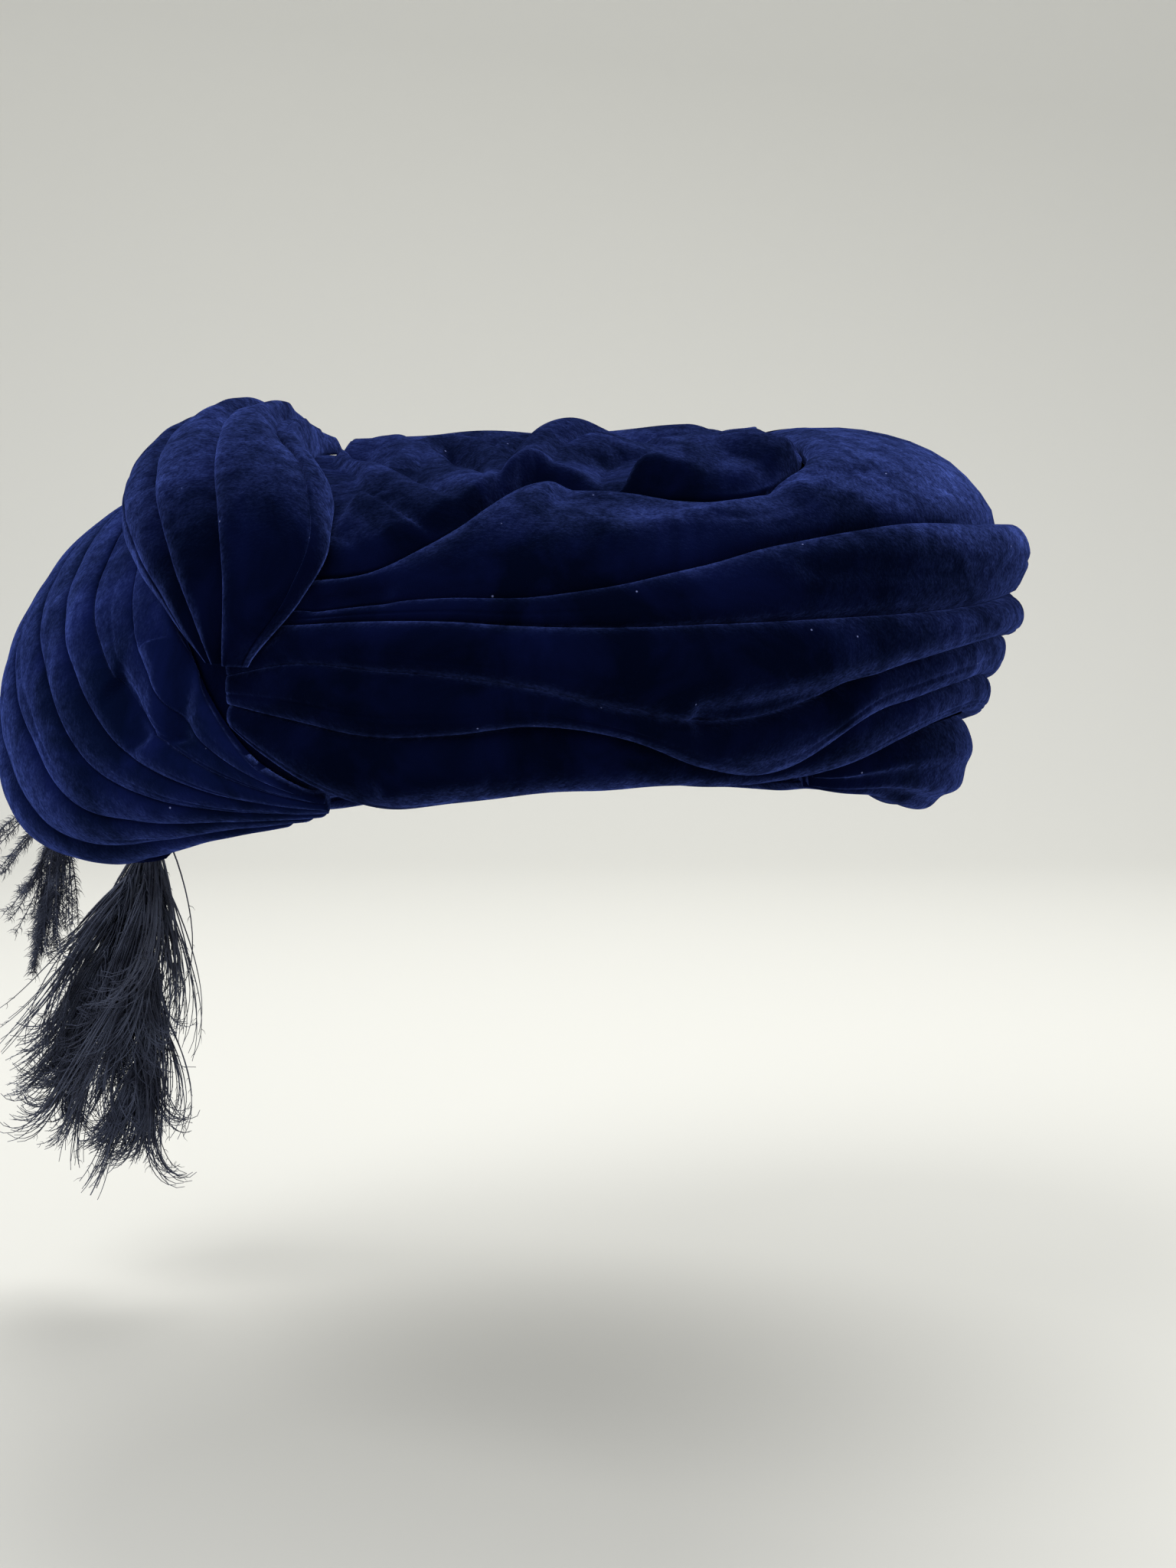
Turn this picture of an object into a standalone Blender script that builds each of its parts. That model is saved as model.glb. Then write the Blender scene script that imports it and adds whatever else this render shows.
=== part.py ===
"""Draped velvet cocktail hat: a hollow crown, pleated drapes, a knot, a tucked end and two plumes.

Metres, Z up, the front faces -Y. Azimuth is in degrees from the front and grows towards +X.
Climb runs from 0 at the edge of the head opening to 1 at the top of the crown.
Height is the distance outwards from the crown's outer face.
"""
import bpy
import numpy as np

# Sizes in metres
HEAD_HALF_WIDTH = 0.078
HEAD_HALF_LENGTH = 0.096
HAT_REACH = 0.120
HAT_HEIGHT = 0.075
APEX_HEIGHT = 0.066
CROWN_WALL = 0.0025
CLOTH_WALL = 0.0020
PIECE_GAP = 0.0006
CROWN_SINK = 0.0007
CLOTH_REST = PIECE_GAP + CLOTH_WALL
# Sizes that the tables of heights and the tables of the plumes are shares of
FOLD_HEIGHT = 0.010
KNOT_HEIGHT = 0.0142
TUCK_HEIGHT = 0.0108
PLUME_LENGTH = 0.094
SPRAY_LENGTH = 0.050
# Foot of a pleat's drop, along the crown, and the shares that shape a pleat
PLEAT_DROP = 0.0016
DROP_LIMIT = 0.3
CAP_DROP = 0.10
LIP_PLACE = 0.86
LIP_FALL = 0.45
RISE_POWER = 0.9
KNOT_CLEARANCE = 0.0045
KNOT_TUCK = 0.0030
KNOT_FADE = 0.0060
KNOT_GAP = 0.0003

# Form of the crown: where the lower and upper curves end and how full the upper one is
LOWER_END = 0.30
UPPER_END = 0.70
UPPER_FULL = 0.03
# Columns: azimuth, reach, height at the reach, height of the rim, crest radius, crest height and
# fullness below the reach; radii are shares of HAT_REACH and heights are shares of HAT_HEIGHT
SECTIONS = np.array([
    (-180, 0.97, 0.30, -0.21, 0.58, 0.88, 0.20),
    (-135, 0.97, 0.12, -0.27, 0.53, 0.86, 0.20),
    (-90, 0.975, 0.03, -0.29, 0.455, 0.84, 0.25),
    (-60, 0.955, 0.11, -0.25, 0.48, 0.82, 0.25),
    (-35, 0.95, 0.28, -0.12, 0.52, 0.77, 0.25),
    (0, 0.93, 0.36, 0.01, 0.54, 0.72, 0.25),
    (45, 0.91, 0.47, 0.01, 0.56, 0.83, 0.15),
    (90, 0.895, 0.54, -0.10, 0.58, 0.92, 0.02),
    (135, 0.93, 0.44, -0.18, 0.58, 0.92, 0.10),
])

# Front drape. Columns: azimuth, then the climb of the top edge, four lips and the lower edge
FRONT_LIPS = np.array([
    (-28, 0.395, 0.368, 0.344, 0.288, 0.260, 0.233),
    (-20, 0.405, 0.362, 0.342, 0.293, 0.232, 0.140),
    (-13, 0.418, 0.370, 0.343, 0.282, 0.208, 0.066),
    (-6, 0.490, 0.373, 0.338, 0.271, 0.201, 0.048),
    (2, 0.610, 0.368, 0.323, 0.250, 0.203, 0.046),
    (11, 0.605, 0.375, 0.308, 0.215, 0.175, 0.042),
    (20, 0.550, 0.393, 0.299, 0.187, 0.115, 0.040),
    (30, 0.525, 0.412, 0.293, 0.198, 0.090, 0.035),
    (38, 0.555, 0.418, 0.289, 0.226, 0.170, 0.060),
    (47, 0.610, 0.416, 0.286, 0.241, 0.196, 0.130),
    (62, 0.710, 0.395, 0.283, 0.250, 0.212, 0.168),
    (80, 0.755, 0.380, 0.282, 0.245, 0.205, 0.160),
    (105, 0.755, 0.390, 0.295, 0.235, 0.190, 0.150),
])
# Columns: azimuth, then the height of each band between the lips, as a share of FOLD_HEIGHT
FRONT_PEAKS = np.array([
    (-28, 0.32, 0.30, 0.34, 0.34, 0.34),
    (-16, 0.44, 0.36, 0.54, 0.52, 0.62),
    (2, 0.64, 0.44, 0.68, 0.64, 0.56),
    (20, 0.64, 0.60, 0.76, 0.62, 0.48),
    (47, 0.56, 0.72, 0.78, 0.48, 0.44),
    (80, 0.52, 0.88, 0.72, 0.50, 0.50),
    (105, 0.50, 0.62, 0.58, 0.48, 0.48),
])

# Side drape. One row for each lip from the outside in; columns: azimuth and climb at
# five stations from the crown down to the front hem
SIDE_LIPS = np.array([
    (-118, 0.520, -98, 0.290, -82, 0.140, -62, 0.072, -30, 0.036),
    (-110, 0.560, -86, 0.385, -69, 0.255, -56, 0.132, -26, 0.047),
    (-100, 0.600, -79, 0.430, -62, 0.300, -49, 0.168, -23, 0.058),
    (-90, 0.638, -71, 0.465, -56, 0.335, -44, 0.198, -21, 0.066),
    (-80, 0.652, -64, 0.490, -52, 0.360, -40, 0.218, -20, 0.084),
    (-71, 0.655, -56, 0.500, -47, 0.370, -36, 0.232, -20, 0.102),
    (-62, 0.640, -47, 0.480, -40, 0.355, -34, 0.252, -22, 0.130),
    (-52, 0.600, -39, 0.440, -34, 0.345, -31, 0.275, -26, 0.188),
])
SIDE_PEAKS = (0.56, 0.52, 0.50, 0.48, 0.50, 0.36, 0.44)
SIDE_FADE = (0.66, 0.76, 0.94, 0.95, 0.70)

# Back drape. One row for each lip from the hem up; columns: azimuth and climb at
# four stations from the right side round the back to the left side
BACK_LIPS = np.array([
    (105.7, 0.015, 165, 0.015, 225, 0.015, 292, 0.015),
    (105.7, 0.150, 160, 0.135, 220, 0.120, 275, 0.110),
    (105.7, 0.235, 158, 0.230, 214, 0.220, 264, 0.215),
    (105.7, 0.295, 156, 0.330, 210, 0.330, 256, 0.320),
    (105.7, 0.390, 154, 0.440, 206, 0.440, 248, 0.420),
    (105.7, 0.755, 152, 0.650, 200, 0.600, 239, 0.550),
])
BACK_PEAKS = (0.48, 0.50, 0.56, 0.54, 0.56)

# Crown drape. Columns: azimuth and climb of the edge on the left, over the knot
CAP_EDGE_LEFT = np.array([
    (239, 0.550), (242, 0.535), (250, 0.575), (260, 0.615), (270, 0.642),
    (280, 0.657), (290, 0.662), (298, 0.645), (306, 0.600), (318, 0.520), (332, 0.420),
])
CAP_EDGE_GAP = 0.008
# Azimuth of the front edge and of the back edge at the five stations from the knot to the right
CAP_FRONT = (-24, -6, 13, 38, 80)
CAP_BACK = (262, 244, 205, 150, 106)
# One row for each lip from the front to the back; columns: azimuth and climb at the five stations
CAP_LIPS = np.array([
    (-29, 0.490, -8, 0.535, 14, 0.635, 39, 0.610, 82, 0.768),
    (-36, 0.545, -10, 0.590, 17, 0.665, 44, 0.680, 85, 0.769),
    (-44, 0.590, -13, 0.650, 20, 0.715, 52, 0.750, 88, 0.770),
    (-55, 0.645, -18, 0.720, 24, 0.790, 64, 0.815, 91, 0.771),
    (-68, 0.680, -30, 0.800, 55, 0.905, 90, 0.860, 95, 0.771),
    (-82, 0.682, -68, 0.845, 170, 0.940, 118, 0.855, 99, 0.770),
    (-91, 0.665, -105, 0.790, -172, 0.820, 136, 0.790, 103, 0.768),
])
# One row for each band between lips, from the front; columns: height at the five stations, as a
# share of FOLD_HEIGHT
CAP_PEAKS = np.array([
    (0.34, 0.40, 0.36, 0.46, 0.40),
    (0.34, 0.50, 0.44, 0.62, 0.46),
    (0.34, 0.58, 0.48, 0.76, 0.48),
    (0.44, 0.80, 0.86, 0.62, 0.48),
    (0.40, 0.70, 1.30, 0.56, 0.48),
    (0.44, 0.74, 0.80, 0.62, 0.48),
    (0.44, 0.68, 0.76, 0.66, 0.46),
    (0.44, 0.60, 0.64, 0.58, 0.44),
])

# Knot. One row for each station from the crown to the lower point; columns: azimuth and climb of the
# left edge and of the right edge, height of the middle as a share of KNOT_HEIGHT
KNOT_STATIONS = np.array([
    (-96, 0.680, -88, 0.770, 0.563),
    (-77, 0.620, -51, 0.705, 0.930),
    (-60, 0.540, -26, 0.585, 1.000),
    (-46, 0.462, -19, 0.462, 0.930),
    (-36, 0.382, -20, 0.372, 0.746),
    (-29, 0.302, -25, 0.294, 0.549),
])
# Columns: share of the way across and height of each pleat's lip as a share of KNOT_HEIGHT
KNOT_PLEATS = np.array([
    (0.12, 0.099), (0.26, 0.141), (0.44, 0.169), (0.66, 0.183), (0.86, 0.127),
])
KNOT_PLEAT_WIDTH = 0.045
KNOT_ARCH_POWER = 0.55

# Tucked end at the lower right. Columns: azimuth, climb of its upper and lower edges, height as a
# share of TUCK_HEIGHT
TUCK_STATIONS = np.array([
    (40, 0.056, 0.010, 0.370),
    (52, 0.130, 0.010, 0.667),
    (68, 0.158, 0.010, 1.000),
    (84, 0.150, 0.010, 0.889),
    (105.45, 0.138, 0.015, 0.463),
])
TUCK_PLEATS = 4
TUCK_PLEAT_HEIGHT = 0.0012
TUCK_ARCH_POWER = 0.6

# Plumes. One row for each station down the plume; columns: x, y, z from its root, half width,
# half thickness, as shares of PLUME_LENGTH and of SPRAY_LENGTH
PLUME_HANGING = np.array([
    (0.000, 0.000, 0.000, 0.064, 0.032),
    (-0.064, 0.064, -0.191, 0.138, 0.064),
    (-0.106, 0.106, -0.447, 0.223, 0.085),
    (-0.128, 0.106, -0.723, 0.287, 0.085),
    (-0.128, 0.085, -1.000, 0.245, 0.048),
])
PLUME_SIDE = np.array([
    (0.000, 0.000, 0.000, 0.080, 0.044),
    (-0.240, 0.000, -0.200, 0.180, 0.060),
    (-0.380, -0.040, -0.560, 0.240, 0.060),
    (-0.400, -0.080, -1.000, 0.160, 0.036),
])
# Azimuth, climb and height, as a share of FOLD_HEIGHT, of each plume's root
HANGING_ROOT = (-120, 0.14, 0.68)
SIDE_ROOT = (-112, 0.22, 0.78)
HANGING_TURN = -20.0
SIDE_TURN = -50.0
HANGING_LOCKS = 6
SIDE_LOCKS = 3
LOCK_RIDGE = 0.22
LOCK_NOTCH = 0.14
PLUME_EDGE = 0.06

# Counts of facets
CROWN_AROUND, CROWN_UP = 32, 10
CROWN_TOP_CLIMB = 0.94
CAP_ALONG = 17
FRONT_ALONG, SIDE_ALONG, BACK_ALONG = 25, 13, 21
KNOT_ALONG, KNOT_ACROSS = 12, 20
TUCK_ALONG, TUCK_ACROSS = 10, 9
PLUME_ALONG = 8
PLEAT_STEPS = (0.0, 0.35, 0.70, 0.90, 1.0)
WIDE_STEPS = (0.0, 0.45, 0.86, 1.0)
NORMAL_STEP = 0.004

VELVET = (0.010, 0.016, 0.085, 1.0)
FEATHER = (0.018, 0.022, 0.050, 1.0)


def smooth(stations, values, at):
    """Curve through table rows: a cubic between rows with slopes taken from their neighbours."""
    stations = np.asarray(stations, float)
    values = np.asarray(values, float)
    at = np.asarray(at, float)
    slopes = np.gradient(values, stations, axis=0)
    i = np.clip(np.searchsorted(stations, at, side="right") - 1, 0, len(stations) - 2)
    span = stations[i + 1] - stations[i]
    t = np.clip((at - stations[i]) / span, 0.0, 1.0)
    if values.ndim > 1:
        t = t[..., None]
        span = span[..., None]
    return ((2 * t**3 - 3 * t**2 + 1) * values[i] + (t**3 - 2 * t**2 + t) * span * slopes[i]
            + (3 * t**2 - 2 * t**3) * values[i + 1] + (t**3 - t**2) * span * slopes[i + 1])


def section(azimuth):
    """Sizes of the crown's section at an azimuth, read from SECTIONS as a ring."""
    rows = np.concatenate([SECTIONS, SECTIONS, SECTIONS])
    rows[:len(SECTIONS), 0] -= 360.0
    rows[-len(SECTIONS):, 0] += 360.0
    turn = (np.asarray(azimuth, float) + 180.0) % 360.0 - 180.0
    found = smooth(rows[:, 0], rows[:, 1:], turn)
    return [found[..., k] for k in range(6)]


def crown_face(azimuth, climb):
    """Point of the crown's outer face: underside and side, then the shoulder, then the top."""
    reach, reach_z, rim_z, crest, crest_z, full = section(azimuth)
    reach, crest = reach * HAT_REACH, crest * HAT_REACH
    reach_z, rim_z, crest_z = reach_z * HAT_HEIGHT, rim_z * HAT_HEIGHT, crest_z * HAT_HEIGHT
    a = np.radians(azimuth)
    rim = (HEAD_HALF_WIDTH * HEAD_HALF_LENGTH
           / np.hypot(HEAD_HALF_LENGTH * np.sin(a), HEAD_HALF_WIDTH * np.cos(a)))
    low = 0.5 * np.pi * np.clip(climb / LOWER_END - 1.0, -1.0, 0.0)
    up = 0.5 * np.pi * np.clip((climb - LOWER_END) / (UPPER_END - LOWER_END), 0.0, 1.0)
    over = np.clip((climb - UPPER_END) / (1.0 - UPPER_END), 0.0, 1.0)
    low_r = rim + (reach - rim) * np.cos(low) * (1.0 + full * np.sin(low)**2)
    low_z = reach_z + (reach_z - rim_z) * np.sin(low) * (1.0 + full * np.cos(low)**2)
    up_r = crest + (reach - crest) * np.cos(up) * (1.0 + UPPER_FULL * np.sin(up)**2)
    up_z = reach_z + (crest_z - reach_z) * np.sin(up) * (1.0 + UPPER_FULL * np.cos(up)**2)
    top_r = crest * (1.0 - over)
    top_z = crest_z + (APEX_HEIGHT - crest_z) * 0.5 * (1.0 - np.cos(np.pi * over))
    radius = np.where(climb < LOWER_END, low_r, np.where(climb < UPPER_END, up_r, top_r))
    z = np.where(climb < LOWER_END, low_z, np.where(climb < UPPER_END, up_z, top_z))
    return np.stack([radius * np.sin(a), -radius * np.cos(a), z], -1)


def over_crown(azimuth, climb, height=0.0):
    """Point at a height over the crown's outer face, measured along its normal."""
    azimuth, climb, height = np.broadcast_arrays(
        np.asarray(azimuth, float), np.asarray(climb, float), np.asarray(height, float))
    a = np.radians(azimuth)
    x, y = (1.0 - climb) * np.sin(a), -(1.0 - climb) * np.cos(a)

    def at(px, py):
        far = np.hypot(px, py)
        return crown_face(np.degrees(np.arctan2(px, -py)), 1.0 - np.minimum(far, 1.0))

    d = NORMAL_STEP
    shrink = 1.0 - d / np.maximum(np.hypot(x, y), 10 * d)
    nx, ny = x * shrink, y * shrink
    normal = np.cross(at(nx + d, ny) - at(nx - d, ny), at(nx, ny + d) - at(nx, ny - d))
    normal /= np.linalg.norm(normal, axis=-1, keepdims=True)
    return at(x, y) + normal * height[..., None]


def beside(points, path):
    """Distance to a path on the crown and the share of the way along it."""
    start, leg = path[:-1], np.diff(path, axis=0)
    to = points[..., None, :] - start
    share = np.clip((to * leg).sum(-1) / (leg**2).sum(-1), 0.0, 1.0)
    distance = np.linalg.norm(to - share[..., None] * leg, axis=-1)
    nearest = distance.argmin(-1)[..., None]
    along = (np.arange(len(leg)) + share) / len(leg)
    return [np.take_along_axis(v, nearest, -1)[..., 0] for v in (distance, along)]


def path_through(rows, count=24):
    """Points on the crown through rows of azimuth and climb, drawn smooth as seen from above."""
    rows = np.asarray(rows, float).reshape(-1, 2)
    a = np.radians(rows[:, 0])
    flat = np.stack([(1.0 - rows[:, 1]) * np.sin(a), -(1.0 - rows[:, 1]) * np.cos(a)], -1)
    flat = smooth(np.arange(len(rows)), flat, np.linspace(0, len(rows) - 1, count))
    azimuth = np.degrees(np.arctan2(flat[:, 0], -flat[:, 1]))
    return over_crown(azimuth, 1.0 - np.hypot(flat[:, 0], flat[:, 1]))


def pleat_profile(share):
    """Height of a pleat from its hollow, 0, up to its lip, 1, and over the rounded lip."""
    rise = np.sin(0.5 * np.pi * np.minimum(share / LIP_PLACE, 1.0))**RISE_POWER
    return rise - LIP_FALL * (np.maximum(share - LIP_PLACE, 0.0) / (1.0 - LIP_PLACE))**2


def pleats(lips, peaks, steps=PLEAT_STEPS):
    """Rows of azimuth, climb and height across a pleated cloth.

    lips holds each lip's azimuth and climb along the cloth, from the lowest up; peaks the height of
    each band. A band starts just past the lip below it, low, and rises to the lip above it.
    """
    rows = []
    for low, high, peak in zip(lips[:-1], lips[1:], peaks):
        spread = np.linalg.norm(over_crown(high[:, 0], high[:, 1])
                                - over_crown(low[:, 0], low[:, 1]), axis=-1)
        start = np.minimum(PLEAT_DROP / np.maximum(spread, PLEAT_DROP), DROP_LIMIT)
        for step in steps:
            share = start + (1.0 - start) * step
            place = low + (high - low) * share[:, None]
            height = CLOTH_REST + (peak - CLOTH_REST) * pleat_profile(step)
            rows.append(np.concatenate([place, height[:, None]], -1))
    return np.stack(rows, 1)


def knot_path(across):
    """Points of the knot's stations at a share of the way across it."""
    left, right = KNOT_STATIONS[:, 0:2], KNOT_STATIONS[:, 2:4]
    return path_through(left + (right - left) * across)


def under_knot(points, height):
    """Height of cloth, held low where the knot lies over it."""
    path = knot_path(0.5)
    half = 0.5 * np.linalg.norm(knot_path(1.0) - knot_path(0.0), axis=-1)
    distance, along = beside(points, path)
    reach = np.interp(along, np.linspace(0, 1, len(half)), half) + KNOT_TUCK
    free = np.clip((distance - reach) / KNOT_FADE, 0.0, 1.0)
    free = free * free * (3.0 - 2.0 * free)
    low = np.minimum(height, KNOT_CLEARANCE - PIECE_GAP - KNOT_GAP)
    return low + (height - low) * free


def cloth(name, grid):
    """Closed cloth wall over the crown from a grid of azimuth, climb and height."""
    azimuth, climb, height = grid[..., 0], grid[..., 1], grid[..., 2]
    height = under_knot(over_crown(azimuth, climb), height)
    inner = np.maximum(height - CLOTH_WALL, PIECE_GAP)
    return shell(name, over_crown(azimuth, climb, height), over_crown(azimuth, climb, inner), VELVET)


def shell(name, outer, inner, colour, ring=False, pole=None):
    """One closed mesh from two matching grids of points, the edges joined by strips."""
    count, rows = outer.shape[:2]
    vertices = np.concatenate([outer.reshape(-1, 3), inner.reshape(-1, 3)])
    number = np.arange(count * rows).reshape(count, rows)
    if ring:
        number = np.concatenate([number, number[:1]])
    shift = count * rows
    faces = []

    def strip(a, b, c, d):
        quads = np.stack([a, b, c, d], -1).reshape(-1, 4)
        faces.extend(quads.tolist())

    strip(number[:-1, :-1], number[1:, :-1], number[1:, 1:], number[:-1, 1:])
    back = number + shift
    strip(back[:-1, :-1], back[:-1, 1:], back[1:, 1:], back[1:, :-1])
    strip(number[1:, 0], number[:-1, 0], back[:-1, 0], back[1:, 0])
    if pole is None:
        strip(number[:-1, -1], number[1:, -1], back[1:, -1], back[:-1, -1])
    else:
        vertices = np.concatenate([vertices, pole])
        top, under = len(vertices) - 2, len(vertices) - 1
        faces.extend([[a, b, top] for a, b in zip(number[:-1, -1], number[1:, -1])])
        faces.extend([[b, a, under] for a, b in zip(back[:-1, -1], back[1:, -1])])
    if not ring:
        strip(number[0, :-1], number[0, 1:], back[0, 1:], back[0, :-1])
        strip(number[-1, 1:], number[-1, :-1], back[-1, :-1], back[-1, 1:])
    return solid(name, vertices, faces, colour)


def solid(name, vertices, faces, colour):
    """Named object of triangles that face outwards, with its own material."""
    triangles = []
    for face in faces:
        triangles.extend([(face[0], face[k], face[k + 1]) for k in range(1, len(face) - 1)])
    corner = vertices[np.array(triangles)]
    volume = np.einsum("ij,ij->i", corner[:, 0], np.cross(corner[:, 1], corner[:, 2])).sum()
    if volume < 0:
        triangles = [(a, c, b) for a, b, c in triangles]
    mesh = bpy.data.meshes.new(name)
    mesh.from_pydata([tuple(v) for v in vertices], [], triangles)
    mesh.update()
    made = bpy.data.objects.new(name, mesh)
    bpy.context.scene.collection.objects.link(made)
    material = bpy.data.materials.new(name + "_material")
    material.use_nodes = True
    shader = material.node_tree.nodes["Principled BSDF"]
    shader.inputs["Base Color"].default_value = colour
    shader.inputs["Roughness"].default_value = 0.85
    mesh.materials.append(material)
    return made


def build_crown():
    """Hollow crown, open at the head opening."""
    azimuth = np.linspace(-180.0, 180.0, CROWN_AROUND, endpoint=False)[:, None]
    climb = np.linspace(0.0, CROWN_TOP_CLIMB, CROWN_UP)[None, :]
    outer = over_crown(azimuth, climb, -CROWN_SINK)
    inner = over_crown(azimuth, climb, -CROWN_SINK - CROWN_WALL)
    top = APEX_HEIGHT - CROWN_SINK
    pole = np.array([(0, 0, top), (0, 0, top - CROWN_WALL)])
    shell("crown", outer, inner, VELVET, ring=True, pole=pole)


def front_top(azimuth):
    """Climb of the front drape's top edge."""
    return smooth(FRONT_LIPS[:, 0], FRONT_LIPS[:, 1], azimuth)


def front_grid(count, steps=PLEAT_STEPS):
    azimuth = np.linspace(FRONT_LIPS[0, 0], FRONT_LIPS[-1, 0], count)
    climbs = smooth(FRONT_LIPS[:, 0], FRONT_LIPS[:, 1:], azimuth)
    peaks = FOLD_HEIGHT * smooth(FRONT_PEAKS[:, 0], FRONT_PEAKS[:, 1:], azimuth)
    lips = [np.stack([azimuth, climbs[:, k]], -1) for k in range(climbs.shape[1])]
    return pleats(lips[::-1], peaks.T[::-1], steps)


def side_grid(count, steps=PLEAT_STEPS):
    stations = np.linspace(0.0, 1.0, SIDE_LIPS.shape[1] // 2)
    along = np.linspace(0.0, 1.0, count)
    lips = [smooth(stations, row.reshape(-1, 2), along) for row in SIDE_LIPS]
    tall = FOLD_HEIGHT * smooth(stations, SIDE_FADE, along)
    return pleats(lips, [peak * tall for peak in SIDE_PEAKS], steps)


def back_grid(count, steps=WIDE_STEPS):
    stations = np.linspace(0.0, 1.0, BACK_LIPS.shape[1] // 2)
    along = np.linspace(0.0, 1.0, count)
    lips = [smooth(stations, row.reshape(-1, 2), along) for row in BACK_LIPS]
    return pleats(lips, [np.full(count, FOLD_HEIGHT * peak) for peak in BACK_PEAKS], steps)


def cap_edge(azimuth):
    """Climb of the crown drape's edge: it meets the front, back and side drapes in turn."""
    front = front_top(np.linspace(FRONT_LIPS[0, 0], FRONT_LIPS[-1, 0], 60))
    rows = [np.stack([np.linspace(FRONT_LIPS[0, 0], FRONT_LIPS[-1, 0], 60), front], -1)]
    along = np.linspace(0.0, 1.0, 30)
    stations = np.linspace(0.0, 1.0, BACK_LIPS.shape[1] // 2)
    rows.append(smooth(stations, BACK_LIPS[-1].reshape(-1, 2), along))
    rows.append(CAP_EDGE_LEFT[1:])
    rows = np.concatenate(rows)
    turn = (np.asarray(azimuth, float) - FRONT_LIPS[0, 0]) % 360.0 + FRONT_LIPS[0, 0]
    return np.interp(turn, rows[:, 0], rows[:, 1]) + CAP_EDGE_GAP


def flat_place(turns):
    """Azimuth and climb as a point of the crown seen flat from above."""
    a = np.radians(turns[..., 0])
    return np.stack([(1.0 - turns[..., 1]) * np.sin(a), -(1.0 - turns[..., 1]) * np.cos(a)], -1)


def cap_grid(count, steps=WIDE_STEPS):
    """Flat place and height of the crown drape: bands between lips from the front to the back."""
    stations = np.linspace(0.0, 1.0, len(CAP_FRONT))
    along = np.linspace(0.0, 1.0, count)
    edges = [smooth(stations, turn, along) for turn in (CAP_FRONT, CAP_BACK)]
    edges = [flat_place(np.stack([turn, cap_edge(turn)], -1)) for turn in edges]
    lips = [smooth(stations, flat_place(row.reshape(-1, 2)), along) for row in CAP_LIPS]
    lips = [edges[0]] + lips + [edges[1]]
    rows = []
    for low, high, peak in zip(lips[:-1], lips[1:], CAP_PEAKS):
        tall = FOLD_HEIGHT * smooth(stations, peak, along)
        for step in steps:
            share = CAP_DROP + (1.0 - CAP_DROP) * step
            height = CLOTH_REST + (tall - CLOTH_REST) * pleat_profile(step)
            rows.append(np.concatenate([low + (high - low) * share, height[:, None]], -1))
    return np.stack(rows, 1)


def build_cap():
    grid = cap_grid(CAP_ALONG)
    azimuth = np.degrees(np.arctan2(grid[..., 0], -grid[..., 1]))
    climb = 1.0 - np.hypot(grid[..., 0], grid[..., 1])
    cloth("crown_drape", np.stack([azimuth, climb, grid[..., 2]], -1))


def knot_grid(count, across):
    stations = np.linspace(0.0, 1.0, len(KNOT_STATIONS))
    rows = smooth(stations, KNOT_STATIONS, np.linspace(0.0, 1.0, count))
    share = 0.5 - 0.5 * np.cos(np.pi * np.linspace(0.0, 1.0, across))
    azimuth = rows[:, 0:1] + (rows[:, 2:3] - rows[:, 0:1]) * share
    climb = rows[:, 1:2] + (rows[:, 3:4] - rows[:, 1:2]) * share
    edge = KNOT_CLEARANCE + CLOTH_WALL
    arch = np.sin(np.pi * share)**KNOT_ARCH_POWER
    height = edge + (KNOT_HEIGHT * rows[:, 4:5] - edge) * arch
    for place, tall in KNOT_PLEATS:
        height = height + KNOT_HEIGHT * tall * arch * np.exp(-((share - place) / KNOT_PLEAT_WIDTH)**2)
    return azimuth, climb, height


def build_knot():
    azimuth, climb, height = knot_grid(KNOT_ALONG, KNOT_ACROSS)
    inner = np.maximum(height - CLOTH_WALL, KNOT_CLEARANCE)
    shell("knot", over_crown(azimuth, climb, height), over_crown(azimuth, climb, inner), VELVET)


def build_tuck():
    azimuth = np.linspace(TUCK_STATIONS[0, 0], TUCK_STATIONS[-1, 0], TUCK_ALONG)[:, None]
    rows = smooth(TUCK_STATIONS[:, 0], TUCK_STATIONS[:, 1:], azimuth[:, 0])
    share = np.linspace(0.0, 1.0, TUCK_ACROSS)[None, :]
    climb = rows[:, 1:2] + (rows[:, 0:1] - rows[:, 1:2]) * share
    arch = np.sin(np.pi * share)**TUCK_ARCH_POWER
    height = CLOTH_REST + (TUCK_HEIGHT * rows[:, 2:3] - CLOTH_REST) * arch
    height = height + TUCK_PLEAT_HEIGHT * np.sin(np.pi * TUCK_PLEATS * share)**2
    cloth("right_tuck", np.stack([azimuth + 0 * climb, climb, height], -1))


def plume(name, root, table, length, turn, locks):
    """Feather as one fan of locks: a flat lens across, ridged along each lock, notched at the foot."""
    start = over_crown(root[0], root[1], FOLD_HEIGHT * root[2])
    across = 4 * locks + 1
    side = np.linspace(-1.0, 1.0, across)
    reach = 1.0 - LOCK_NOTCH * (0.5 + 0.5 * np.cos(np.pi * locks * (side + 1.0)))
    along = np.linspace(0.0, 1.0, PLUME_ALONG)[:, None] * reach
    rows = length * smooth(np.linspace(0.0, 1.0, len(table)), table, along)
    a = np.radians(turn)
    wide, deep = np.array((np.cos(a), np.sin(a), 0.0)), np.array((-np.sin(a), np.cos(a), 0.0))
    middle = start + rows[..., :3] + wide * (rows[..., 3] * side)[..., None]
    ridge = 1.0 - LOCK_RIDGE * (0.5 + 0.5 * np.cos(np.pi * locks * (side + 1.0)))
    lens = np.sqrt(np.maximum(1.0 - side**2, PLUME_EDGE))
    thick = (rows[..., 4] * lens * ridge)[..., None]
    shell(name, middle + deep * thick, middle - deep * thick, FEATHER)


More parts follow.
